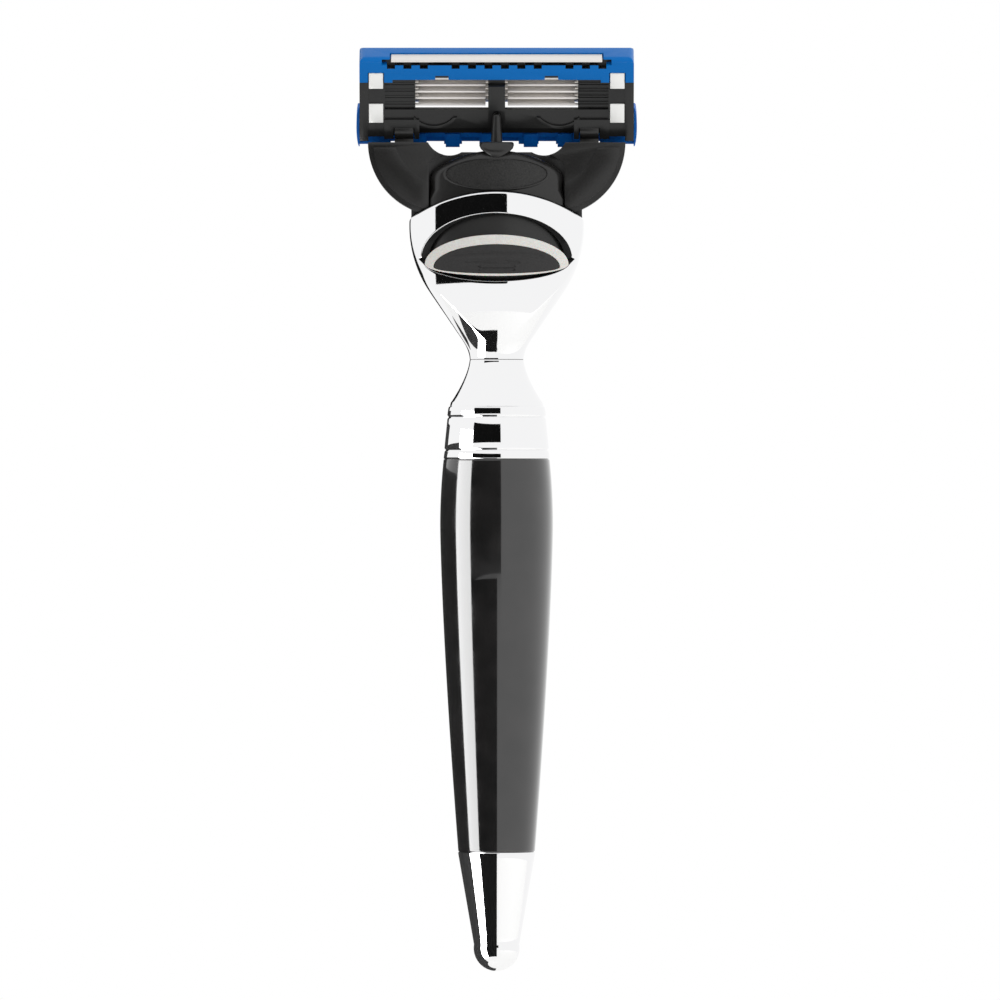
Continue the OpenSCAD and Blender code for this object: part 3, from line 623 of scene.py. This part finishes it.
def grown(bm, edges, place):
    """Extrudes open edges and moves each new vertex to its place; gives the new edges."""
    new = bmesh.ops.extrude_edge_only(bm, edges=edges)["geom"]
    for v in new:
        if isinstance(v, bmesh.types.BMVert):
            v.co = place(v.co.copy())
    return [e for e in new if isinstance(e, bmesh.types.BMEdge)]


def towards_window(co, inward, deeper):
    """A point moved from the window's outline towards its middle, and into the head."""
    b = window_up if co.z > window_z else window_down
    out = Vector((co.x / window_a ** 2, 0, (co.z - window_z) / b ** 2)).normalized()
    return co - out * inward + Vector((0, deeper, 0))


def over_rim(co, inward, height):
    """A point moved towards the axis, at a height below the rim's arc."""
    r = Vector((co.x, co.y, 0))
    moved = r - r.normalized() * inward
    return Vector((moved.x, moved.y, rim_height(moved.x) - height))


def near_rim(co):
    """Whether a point lies at the saddle-shaped rim."""
    return co.z > 18 * mm and abs(co.z - rim_height(co.x)) < 0.6 * mm


def near_neck(co):
    """Whether a point lies at the open end of the neck."""
    return co.z < 0.1 * mm


def near_window(co):
    """Whether a point of an open edge belongs to the window."""
    return not near_rim(co) and not near_neck(co)


lip_turns = [radians(22.5 * k) for k in range(5)]
shell = bmesh.new()
head_skin(shell, 0, 0, rim_round, 44, 26)
window_edge = open_edges(shell, near_window)
for a, b in zip(lip_turns, lip_turns[1:]):
    inward, deeper = lip * (sin(b) - sin(a)), lip * (cos(a) - cos(b))
    window_edge = grown(shell, window_edge, lambda co: towards_window(co, inward, deeper))
rim_edge = open_edges(shell, near_rim)
for a, b in zip(lip_turns, lip_turns[1:]):
    inward, height = rim_round * (cos(a) - cos(b)), rim_round * (1 - sin(b))
    rim_edge = grown(shell, rim_edge, lambda co: over_rim(co, inward, height))
neck_edge = open_edges(shell, near_neck)
print("outer skin and lips:", len(shell.faces), "faces")

# %% Joining the inner skin to the lips
inner = bmesh.new()
head_skin(inner, wall, lip, 0.15 * mm, 20, 12)
kept_mesh = bpy.data.meshes.new("inner_skin")
inner.to_mesh(kept_mesh)
inner.free()
known = set(shell.edges)
polished = set(shell.faces)
shell.from_mesh(kept_mesh)
added = [e for e in shell.edges if e not in known and e.is_boundary]
for outer_edges, test in ((window_edge, near_window), (rim_edge, near_rim), (neck_edge, near_neck)):
    bmesh.ops.bridge_loops(shell, edges=outer_edges + [e for e in added if test(middle_of(e))])
open_left = sum(e.is_boundary for e in shell.edges)
for face in shell.faces:
    face.material_index = 0 if face in polished else 1
head = piece_from(shell, "bell", "handle", "head_shell", plating, sharp=50)
head.data.materials.append(dull_bore)
print("bell:", len(head.data.polygons), "faces,", open_left, "open edges")

# %% [markdown]
# ## The ejector button
# Inside the window a black moulded plate slides in the head. Its front leans out towards the lower
# lip, where the thumb pushes, and its surface follows the crown of the milled face. A light ring
# and a soft pad sit in it. Each of them is lofted from egg-shaped outlines that lie on this leaning
# surface, so their edges can be rolled over softly all the way round.

# %% The leaning surface and the egg outline
ring_low, ring_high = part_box("button_ring")
lean_low_z, lean_high_z = ring_low.z, ring_high.z
lip_depth, top_depth = 8.6 * mm, 7.3 * mm


def leaning(x, z, depth=0.0):
    """Y of the button's leaning face, drawn in by a depth."""
    t = (z - lean_low_z) / (lean_high_z - lean_low_z)
    reach = face_axis + lip_depth + (top_depth - lip_depth) * t - depth
    return face_axis - sqrt(reach ** 2 - x ** 2)


def egg(a, up, down, z, depth, count=120):
    """An egg outline on the leaning face, drawn in by a depth."""
    points = []
    for i in range(count):
        turn = 2 * pi * i / count
        x, rise = a * cos(turn), (up if turn < pi else down) * sin(turn)
        points.append(Vector((x, leaning(x, z + rise, depth), z + rise)))
    return points


def rolled(a, up, down, z, radius, base, steps=5):
    """Outlines that roll over an edge through a quarter turn, from the wall to the face."""
    loops = []
    for k in range(steps + 1):
        turn = radians(90 * k / steps)
        side = radius * (1 - cos(turn))
        loops.append(egg(a - side, up - side, down - side, z, base + radius * (1 - sin(turn))))
    return loops


print("leaning face from", round(lean_low_z / mm, 2), "to", round(lean_high_z / mm, 2), "mm")

# %% [markdown]
# ### Ring
# The ring is one closed band: up its outer wall, over a rounded edge, across the front, over the
# inner edge and down again. Where the two halves of its tool met there is a fine parting line at
# the top, which is pressed in as a narrow notch.

# %% Light ring
ring_a, ring_up, ring_down, ring_z = 10.75 * mm, 4.4 * mm, 1.8 * mm, 14.2 * mm
pad_a, pad_up, pad_down, pad_z = 9.45 * mm, 3.4 * mm, 1.0 * mm, 13.75 * mm
ring_back = 0.34 * mm
ring_edge = 0.12 * mm

parting_half, parting_depth, front_depth = 0.3 * mm, 0.12 * mm, 0.2 * mm

loops = [egg(ring_a, ring_up, ring_down, ring_z, ring_back)]
loops += rolled(ring_a, ring_up, ring_down, ring_z, ring_edge, 0)
for turn in [radians(a) for a in range(0, 91, 18)]:
    side = ring_edge - ring_edge * sin(turn)
    loops.append(egg(pad_a + side, pad_up + side, pad_down + side, pad_z, ring_edge * (1 - cos(turn))))
loops.append(egg(pad_a, pad_up, pad_down, pad_z, ring_back))
bm = banded(loops)
for v in bm.verts:
    if v.co.z > ring_z and v.co.y < leaning(v.co.x, v.co.z, front_depth):
        v.co.y += parting_depth * max(0, 1 - abs(v.co.x) / parting_half)
piece_from(bm, "light_ring", "button", "button_ring", ring_grey)
print("ring made,", len(loops), "outlines")

# %% [markdown]
# ### Pad
# The pad is a crowned lens. Nested outlines run from its rolled edge to a point in the middle, fine
# enough to carry three rounded grooves for the thumb, each one shorter than the one above it.

# %% Soft pad
# Each groove has its middle's x and z, its half length and its half width.
grooves = [(0.25 * mm, 15.6 * mm, 6.7 * mm, 0.42 * mm), (-0.7 * mm, 14.45 * mm, 4.2 * mm, 0.3 * mm),
           (0, 13.4 * mm, 2.7 * mm, 0.28 * mm)]
groove_depth = 0.16 * mm
groove_bow = 0.006 / mm
pad_gap, pad_back, pad_roll, pad_set = 0.03 * mm, 0.9 * mm, 0.1 * mm, 0.08 * mm
nested = 44


def groove_at(x, z):
    """Depth of the thumb grooves at a place on the pad."""
    total = 0
    for gx, gz, half, r in grooves:
        along, across = max(0, abs(x - gx) - half + r), z - gz + groove_bow * (x - gx) ** 2
        away = sqrt(along ** 2 + across ** 2)
        total = max(total, groove_depth * max(0, 1 - (away / r) ** 2) ** 0.7)
    return total


a, up, down = pad_a - pad_gap, pad_up - pad_gap, pad_down - pad_gap
loops = [egg(a, up, down, pad_z, pad_back)] + rolled(a, up, down, pad_z, pad_roll, pad_set)
for k in range(1, nested):
    share = 1 - k / nested
    loop = egg((a - pad_roll) * share, (up - pad_roll) * share, (down - pad_roll) * share, pad_z, pad_set)
    loops.append([p + Vector((0, groove_at(p.x, p.z), 0)) for p in loop])
bm = lofted(loops)
piece_from(bm, "thumb_cushion", "button", "thumb_pad", pad_black)
print("pad made,", len(loops), "outlines")

# %% [markdown]
# ## The connector
# The connector is moulded in two halves: a yoke with two arms that carry the cartridge, and a
# crowned front with an oval badge. The yoke keeps its CAD shape. The arms' outer curve is rolled over
# with a wide radius, and all other sharp edges get the small radius of an ordinary moulding.

# %% Yoke
arm_x, arm_z, arm_r = 8.3 * mm, 32.5 * mm, 11 * mm
arm_from_x = 13.4 * mm


def on_arm(co):
    """Whether a point lies on the outer curve of an arm."""
    away = hypot(abs(co.x) - arm_x, co.z - arm_z)
    return abs(away - arm_r) < 0.05 * mm and abs(co.x) > arm_from_x


bm = merged_copy("yoke")
rounded_edges(bm, 0.55 * mm, 5, chosen=on_arm)
rounded_edges(bm, 0.22 * mm, 3, 40, lambda co: not on_arm(co))
piece_from(bm, "yoke_body", "connector", "yoke", satin)
print("yoke made")

# %% [markdown]
# The hub's front is a thin crowned shell. Rays run from the middle of the badge out to the hub's
# outline: the dome above, the sides, and the saddle rim below. Along these rays the shell rolls over
# its edge, crosses the crown, climbs the badge's raised rim and drops to its stippled floor.

# %% Outline of the hub's front
badge_z, badge_a, badge_b = 27.75 * mm, 7.7 * mm, 2.4 * mm
dome_r, dome_z = 16.7 * mm, 31.25 * mm
face_half = 10.05 * mm
side_soft = 0.45 * mm
rim_gap = 0.12 * mm
split_y = -1.24 * mm
crown_y = 14.4 * mm
hub_rays = 240


def crown_front(x):
    """Y of the hub's crowned front at a place across it."""
    return crown_y - sqrt(crown_r ** 2 - x * x)


def ray_way(i):
    """Unit direction of one ray, spread as evenly as points on the badge's ellipse."""
    t = 2 * pi * i / hub_rays
    return Vector((badge_a * cos(t), 0, badge_b * sin(t))).normalized()


def circle_hit(way, center_z, radius):
    """Distance along a ray from the badge's middle to a circle about the Z axis's height."""
    low = badge_z - center_z
    half = way.z * low
    return sqrt(max(0, half * half + radius * radius - low * low)) - half


def edge_reach(way):
    """Distance along a ray to the outline, with the shoulder between dome and side rounded."""
    top = circle_hit(way, dome_z - dome_r, dome_r)
    side = face_half / max(1e-6, abs(way.x))
    reach = -side_soft * log(exp(-top / side_soft) + exp(-side / side_soft))
    if way.z < 0:
        bottom = side
        for _ in range(30):
            bottom = (badge_z - rim_height(min(bottom, reach) * way.x) - rim_gap) / -way.z
        reach = min(reach, bottom)
    return reach


print("the hub reaches", round(edge_reach(Vector((1, 0, 0))) / mm, 2), "mm to the side")

# %% Hub front with its badge
wall_t, floor_depth = 0.6 * mm, 0.1 * mm
badge_border = 0.2 * mm
wide_fold, fine_fold = 1.5 * mm, 0.1 * mm
guide_half, guide_depth = 1.7 * mm, 2.3 * mm
rim_from, rim_span = 0.25, 0.12
# The badge's rim, from outside to inside: how far past its ellipse, and how deep below the crown, in mm.
badge_rise = [(0.24, 0), (0.16, -0.07), (0.06, -0.12), (-0.06, -0.12), (-0.14, -0.05), (-0.2, 0.08)]


def hub_loop(reach_at, depth_at):
    """One closed outline of the hub, from a reach and a depth for each ray."""
    points = []
    for way in [ray_way(i) for i in range(hub_rays)]:
        reach = reach_at(way)
        x, z = reach * way.x, badge_z + reach * way.z
        points.append(Vector((x, crown_front(x) + depth_at(way, x), z)))
    return points


def share_down(way):
    """0 for rays to the sides and up, 1 for rays to the rim below."""
    return min(1, max(0, (-way.z - rim_from) / rim_span))


def fold(way):
    """Radius of the rolled edge: wide at the dome and sides, fine along the rim."""
    return wide_fold - (wide_fold - fine_fold) * share_down(way)


def side_depth(way, x):
    """Depth of the shell's back edge below the crown."""
    to_split = split_y - crown_front(x)
    if abs(x) < guide_half and way.z > 0:
        to_split = min(to_split, guide_depth)
    return to_split + (wall_t + 0.15 * mm - to_split) * share_down(way)


def crown_reach(way):
    """Distance along a ray to where the crown ends and the rolled edge starts."""
    return edge_reach(way) - fold(way)


def ellipse_reach(way, grow):
    """Distance along a ray to the badge's ellipse, grown on all sides."""
    a, b = badge_a + grow, badge_b + grow
    return 1 / sqrt((way.x / a) ** 2 + (way.z / b) ** 2)


loops = [hub_loop(lambda way: edge_reach(way) - wall_t, side_depth), hub_loop(edge_reach, side_depth)]
for turn in [pi / 2 * k / 8 for k in range(9)]:
    loops.append(hub_loop(lambda way: edge_reach(way) - fold(way) * (1 - cos(turn)),
                          lambda way, x: fold(way) * (1 - sin(turn))))
for share in [k / 6 for k in range(1, 6)]:
    loops.append(hub_loop(lambda way: crown_reach(way) * (1 - share)
                          + max(0, min(crown_reach(way), ellipse_reach(way, 0.3 * mm))) * share,
                          lambda way, x: 0))
for grow, rise in badge_rise:
    loops.append(hub_loop(lambda way: min(crown_reach(way) - 0.001 * mm, ellipse_reach(way, grow * mm)),
                          lambda way, x: rise * mm))
for share in [1 - k / 12 for k in range(1, 12)]:
    loops.append(hub_loop(lambda way: ellipse_reach(way, -badge_border) * share,
                          lambda way, x: floor_depth))
badge_last = len(loops) - 1
for share in [k / 12 for k in range(1, 12)]:
    loops.append(hub_loop(lambda way: (crown_reach(way) - wall_t) * share, lambda way, x: wall_t))
loops.append(hub_loop(lambda way: edge_reach(way) - max(fold(way), wall_t),
                      lambda way, x: wall_t + 0.1 * mm))
bm = banded(loops, gap=badge_last)
for face in bm.faces:
    co = face.calc_center_median()
    inside = (co.x / badge_a) ** 2 + ((co.z - badge_z) / badge_b) ** 2 < 0.9
    face.material_index = 1 if inside and co.y < crown_front(co.x) + 0.3 * mm else 0
hub_front = piece_from(bm, "hub_front", "connector", "connector_cap", satin)
hub_front.data.materials.append(stippled)
print("hub front:", len(hub_front.data.polygons), "faces")

# %% [markdown]
# A small hook-shaped guide stands in front of the plunger, on top of the hub's dome.

# %% Guide of the plunger
def squarish(value):
    """A sine or cosine drawn towards 1 or -1, which squares an ellipse off."""
    return copysign(abs(value) ** 0.6, value)


# Each level has its height, half width, front and back, in mm.
guide_levels = [(30.2, 0.7, 5.62, 4.9), (30.5, 1.2, 5.85, 4.6), (31.0, 1.9, 6.0, 4.2), (31.5, 2.4, 5.95, 3.6),
                (32.0, 2.6, 5.7, 3.2), (32.35, 2.55, 5.5, 3.2), (32.5, 2.35, 5.3, 3.25)]
loops = []
for z, half, front, back in guide_levels:
    middle_y, deep = -(front + back) / 2, (front - back) / 2
    loops.append([Vector((half * mm * squarish(cos(t)), (middle_y + deep * squarish(sin(t))) * mm, z * mm))
                  for t in [2 * pi * (i + 0.5) / 48 for i in range(48)]])
bm = lofted(loops)
piece_from(bm, "pin_guide", "connector", None, satin)
print("guide made")

# %% [markdown]
# ## The plunger
# A thin tapered pin with a flange. It rides in the hub and leans on the cartridge's bridge.

# %% Plunger
plunger_low, plunger_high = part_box("plunger")
pin_y = -2.2 * mm
flange_top, taper_z = 28.4 * mm, 33 * mm
flange_r, flange_bevel = 1.5 * mm, 0.1 * mm
pin_r, pin_tip_r = 0.85 * mm, 0.6 * mm
profile = [(0, plunger_low.z), (flange_r - flange_bevel, plunger_low.z),
           (flange_r, plunger_low.z + flange_bevel), (flange_r, flange_top - flange_bevel),
           (flange_r - flange_bevel, flange_top), (pin_r, flange_top), (pin_r, taper_z),
           (pin_tip_r, plunger_high.z - pin_tip_r)]
profile += arc((0, plunger_high.z - pin_tip_r), pin_tip_r, 10, 90, 8)[:-1] + [(0, plunger_high.z)]
bm = turned(profile, 48)
bmesh.ops.translate(bm, verts=bm.verts, vec=(0, pin_y, 0))
piece_from(bm, "plunger_pin", "plunger", "plunger", satin)
print("plunger from", round(plunger_low.z / mm, 2), "to", round(plunger_high.z / mm, 2), "mm")

# %% [markdown]
# ## The cartridge
# The cartridge is a stack of small mouldings and strips. Its frame, trimmer, strip and clips keep their
# CAD shapes, with rounded edges in proportion to each one. Cap and guard get softer ends as well.

# %% The cartridge's own directions
cartridge_lean = 24
pivot = Vector((0, 0.5 * mm, 34.4 * mm))
pivot_depth = 1.6 * mm
cartridge_turn = Matrix.Rotation(radians(cartridge_lean), 3, "X")
cartridge_foot = pivot - cartridge_turn @ Vector((0, pivot_depth, 0))


def flat(co):
    """A point in the cartridge's directions: across, forward from its back, and up along it."""
    return cartridge_turn.transposed() @ (co - cartridge_foot)


def sliced(bm, way, places):
    """Cuts new edges into a bmesh where planes across a direction of the cartridge meet it."""
    normal = cartridge_turn @ Vector(way)
    for place in places:
        bmesh.ops.bisect_plane(bm, geom=bm.verts[:] + bm.edges[:] + bm.faces[:], dist=1e-7,
                               plane_co=cartridge_foot + normal * place, plane_no=normal)


print("cartridge leans", cartridge_lean, "degrees")

# %% Cartridge mouldings
for node, name, width, slot, material in (
        ("cartridge_housing", "housing_frame", 0.07 * mm, "housing_plastic", frame_plastic),
        ("trimmer_blade", "trimmer_strip", 0.05 * mm, "steel", steel),
        ("lubricating_strip", "wax_strip", 0.18 * mm, "strip", strip_wax),
        ("clip_left", "band_left", 0.07 * mm, "clip_metal", clip_metal),
        ("clip_right", "band_right", 0.07 * mm, "clip_metal", clip_metal)):
    piece = piece_from(rounded_copy(node, width), name, "cartridge", node, material)
    print(name, len(piece.data.polygons), "faces")

# %% [markdown]
# The cap's upper corners are rounded as seen from the back. New edges are cut near both ends, and the
# points outside the corner's circle are drawn back onto it. The comb's slot and notches are so deep
# that no light leaves them: their inner faces take the dark frame plastic.

# %% Blue cap
cap_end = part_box("cap_shell")[1].x
corner_r = 0.9 * mm
comb_low, comb_high, comb_half = 10.5 * mm, 11.95 * mm, 16.5 * mm
comb_front, comb_back = 0.2 * mm, 1.5 * mm
bm = rounded_copy("cap_shell", 0.16 * mm)
cap_top = max(flat(v.co).z for v in bm.verts)
for k in range(6):
    below = corner_r * (1 - sin(pi / 2 * k / 6))
    sliced(bm, (1, 0, 0), (cap_end - below, below - cap_end))
    sliced(bm, (0, 0, 1), (cap_top - below,))
for v in bm.verts:
    co = flat(v.co)
    out, up = abs(co.x) - (cap_end - corner_r), co.z - (cap_top - corner_r)
    if out > 0 and up > 0 and hypot(out, up) > corner_r:
        share = corner_r / hypot(out, up)
        co.x = copysign(cap_end - corner_r + out * share, co.x)
        co.z = cap_top - corner_r + up * share
        v.co = cartridge_turn @ co + cartridge_foot
for face in bm.faces:
    co = flat(face.calc_center_median())
    in_comb = comb_low < co.z < comb_high and comb_front < co.y < comb_back and abs(co.x) < comb_half
    face.material_index = 1 if in_comb else 0
blue_cap = piece_from(bm, "blue_cap", "cartridge", "cap_shell", blue_skin)
blue_cap.data.materials.append(frame_plastic)
print("blue cap", len(blue_cap.data.polygons), "faces")

# %% [markdown]
# The guard's soft ends bulge past the housing like a leaf. They get new edges along their length, and
# the bulge is scaled by a half ellipse.

# %% Blue guard
bulge_in, bulge_mid, bulge_half = 20.56 * mm, 0.2 * mm, 3.2 * mm
bm = rounded_copy("guard", 0.13 * mm)
sliced(bm, (0, 0, 1), [bulge_mid + bulge_half * sin(pi / 2 * k / 7) for k in range(-6, 7)])
for v in bm.verts:
    past = abs(v.co.x) - bulge_in
    if past > 0:
        rise = min(1, abs(flat(v.co).z - bulge_mid) / bulge_half)
        v.co.x = copysign(bulge_in + past * sqrt(1 - rise ** 2), v.co.x)
blue_guard = piece_from(bm, "blue_guard", "cartridge", "guard", soft_blue)
print("blue guard", len(blue_guard.data.polygons), "faces")

# %% [markdown]
# ## Pieces that keep their CAD mesh
# Springs, rod, supports and blades already have their real shape. They only get their finishes. The
# inner mouldings are copied, to round their edges.

# %% Inner mouldings
for node, name, body in (("head_insert", "core_nose", "handle"),
                         ("ejector_button", "button_plate", "button"),
                         ("ejector_sled", "sled_prongs", "button")):
    piece = piece_from(rounded_copy(node, 0.15 * mm), name, body, node, satin)
    print(name, len(piece.data.polygons), "faces")

# %% Finishes on the kept pieces
kept = {"tension_rod": steel, "button_spring": steel, "plunger_spring": steel}
for i in range(1, 6):
    # The supports take the paler copy of the steel, which is painted light for their deep slots.
    kept["support_%d" % i] = painted_light_steel
    kept["blade_%d" % i] = edge_steel
for node, material in kept.items():
    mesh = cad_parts[node].data
    mesh.materials.clear()
    mesh.materials.append(material)
print(len(kept), "kept pieces have their finish")

# %% [markdown]
# ## Studio
# Polished metal shows its surroundings, so the studio is part of the finish. It is white all round,
# with curved dark panels to the left of the razor: far ones, which every bright surface shows, and
# near ones, which only the pieces at their own height show. A glowing strip close to the handle makes
# the thin bright line in the dark. No panel is seen by the camera or casts a shadow.

# %% White room and floor
world = bpy.data.worlds.new("white_room")
bpy.context.scene.world = world
world.use_nodes = True
world.node_tree.nodes["Background"].inputs["Color"].default_value = (1, 1, 1, 1)
world.node_tree.nodes["Background"].inputs["Strength"].default_value = 1.0
bpy.context.scene.view_settings.view_transform = "Standard"

floor_z, floor_r = -0.14, 0.3
floor_paint = finish("floor_paint", (0.93, 0.93, 0.92), 0.7)
vary(floor_paint, pattern(floor_paint, 60), "Roughness", 0.62, 0.78)
bm = bmesh.new()
bmesh.ops.create_circle(bm, cap_ends=True, segments=96, radius=floor_r)
bmesh.ops.translate(bm, verts=bm.verts, vec=(0, 0, floor_z))
mesh = bpy.data.meshes.new("floor")
bm.to_mesh(mesh)
bm.free()
mesh.materials.append(floor_paint)
floor = bpy.data.objects.new("floor", mesh)
bpy.context.scene.collection.objects.link(floor)
print("room and floor made")


# %% Panels that the metal reflects
def panel(name, first, last, reach, low, high, color, glow=0.0):
    """A curved panel round the razor between two angles from straight ahead, which may glow."""
    bm = bmesh.new()
    count = max(2, round(abs(last - first) / 5))
    turns = [radians(first + (last - first) * i / count) for i in range(count + 1)]
    verts = [bm.verts.new((reach * sin(t), -reach * cos(t), low)) for t in turns]
    edges = [bm.edges.new(pair) for pair in zip(verts, verts[1:])]
    new = bmesh.ops.extrude_edge_only(bm, edges=edges)["geom"]
    bmesh.ops.translate(bm, verts=[v for v in new if isinstance(v, bmesh.types.BMVert)],
                        vec=(0, 0, high - low))
    mesh = bpy.data.meshes.new(name)
    bm.to_mesh(mesh)
    bm.free()
    paint = finish(name + "_paint", (color, color, color), 0.9, Specular_IOR_Level=0.0,
                   Emission_Color=(1, 1, 1, 1), Emission_Strength=glow)
    mesh.materials.append(paint)
    card = bpy.data.objects.new(name, mesh)
    bpy.context.scene.collection.objects.link(card)
    card.visible_camera = False
    card.visible_diffuse = False
    card.visible_shadow = False


panel("dark_front", -55, 9, 0.5, -0.07, 0.16, 0.005)
panel("dark_low", -55, 1, 0.06, -0.3, -0.037, 0.012)
panel("dark_left", -178, -82, 0.03, -0.3, -0.0145, 0.045)
panel("dark_left_band", -178, -125, 0.03, -0.0145, -0.007, 0.045)
panel("dark_left_high", -172, -150, 0.5, -0.09, 0.16, 0.01)
panel("bright_strip", -82, -49.6, 0.035, -0.12, -0.006, 1.0, 8.0)
print("panels made")


# %% Soft light
def softbox(name, place, aim, size, power):
    """A square area light at a place, turned to a point."""
    light = bpy.data.lights.new(name, "AREA")
    light.size = size
    light.energy = power
    lamp = bpy.data.objects.new(name, light)
    bpy.context.scene.collection.objects.link(lamp)
    lamp.visible_glossy = False
    lamp.location = place
    lamp.rotation_euler = (Vector(aim) - Vector(place)).to_track_quat("-Z", "Y").to_euler()


softbox("key", (0.55, -0.35, 0.3), (0, 0, 0.02), 0.35, 1.5)
print("soft light made")

# %% [markdown]
# ## Camera
# A very long lens straight in front of the ejector side, level with the middle of the razor, so there
# is almost no perspective: the tilted cartridge keeps its true height in the picture.

# %% Camera
camera_data = bpy.data.cameras.new("camera")
camera = bpy.data.objects.new("camera", camera_data)
bpy.context.scene.collection.objects.link(camera)
field, distance = 0.150, 2.4
middle_x, middle_z = 0.0005, -0.0211
camera_data.sensor_width = 36
camera_data.lens = camera_data.sensor_width * distance / field
camera.location = (middle_x, -distance, middle_z)
camera.rotation_euler = (pi / 2, 0, 0)
bpy.context.scene.camera = camera
print("lens", round(camera_data.lens, 1), "mm")
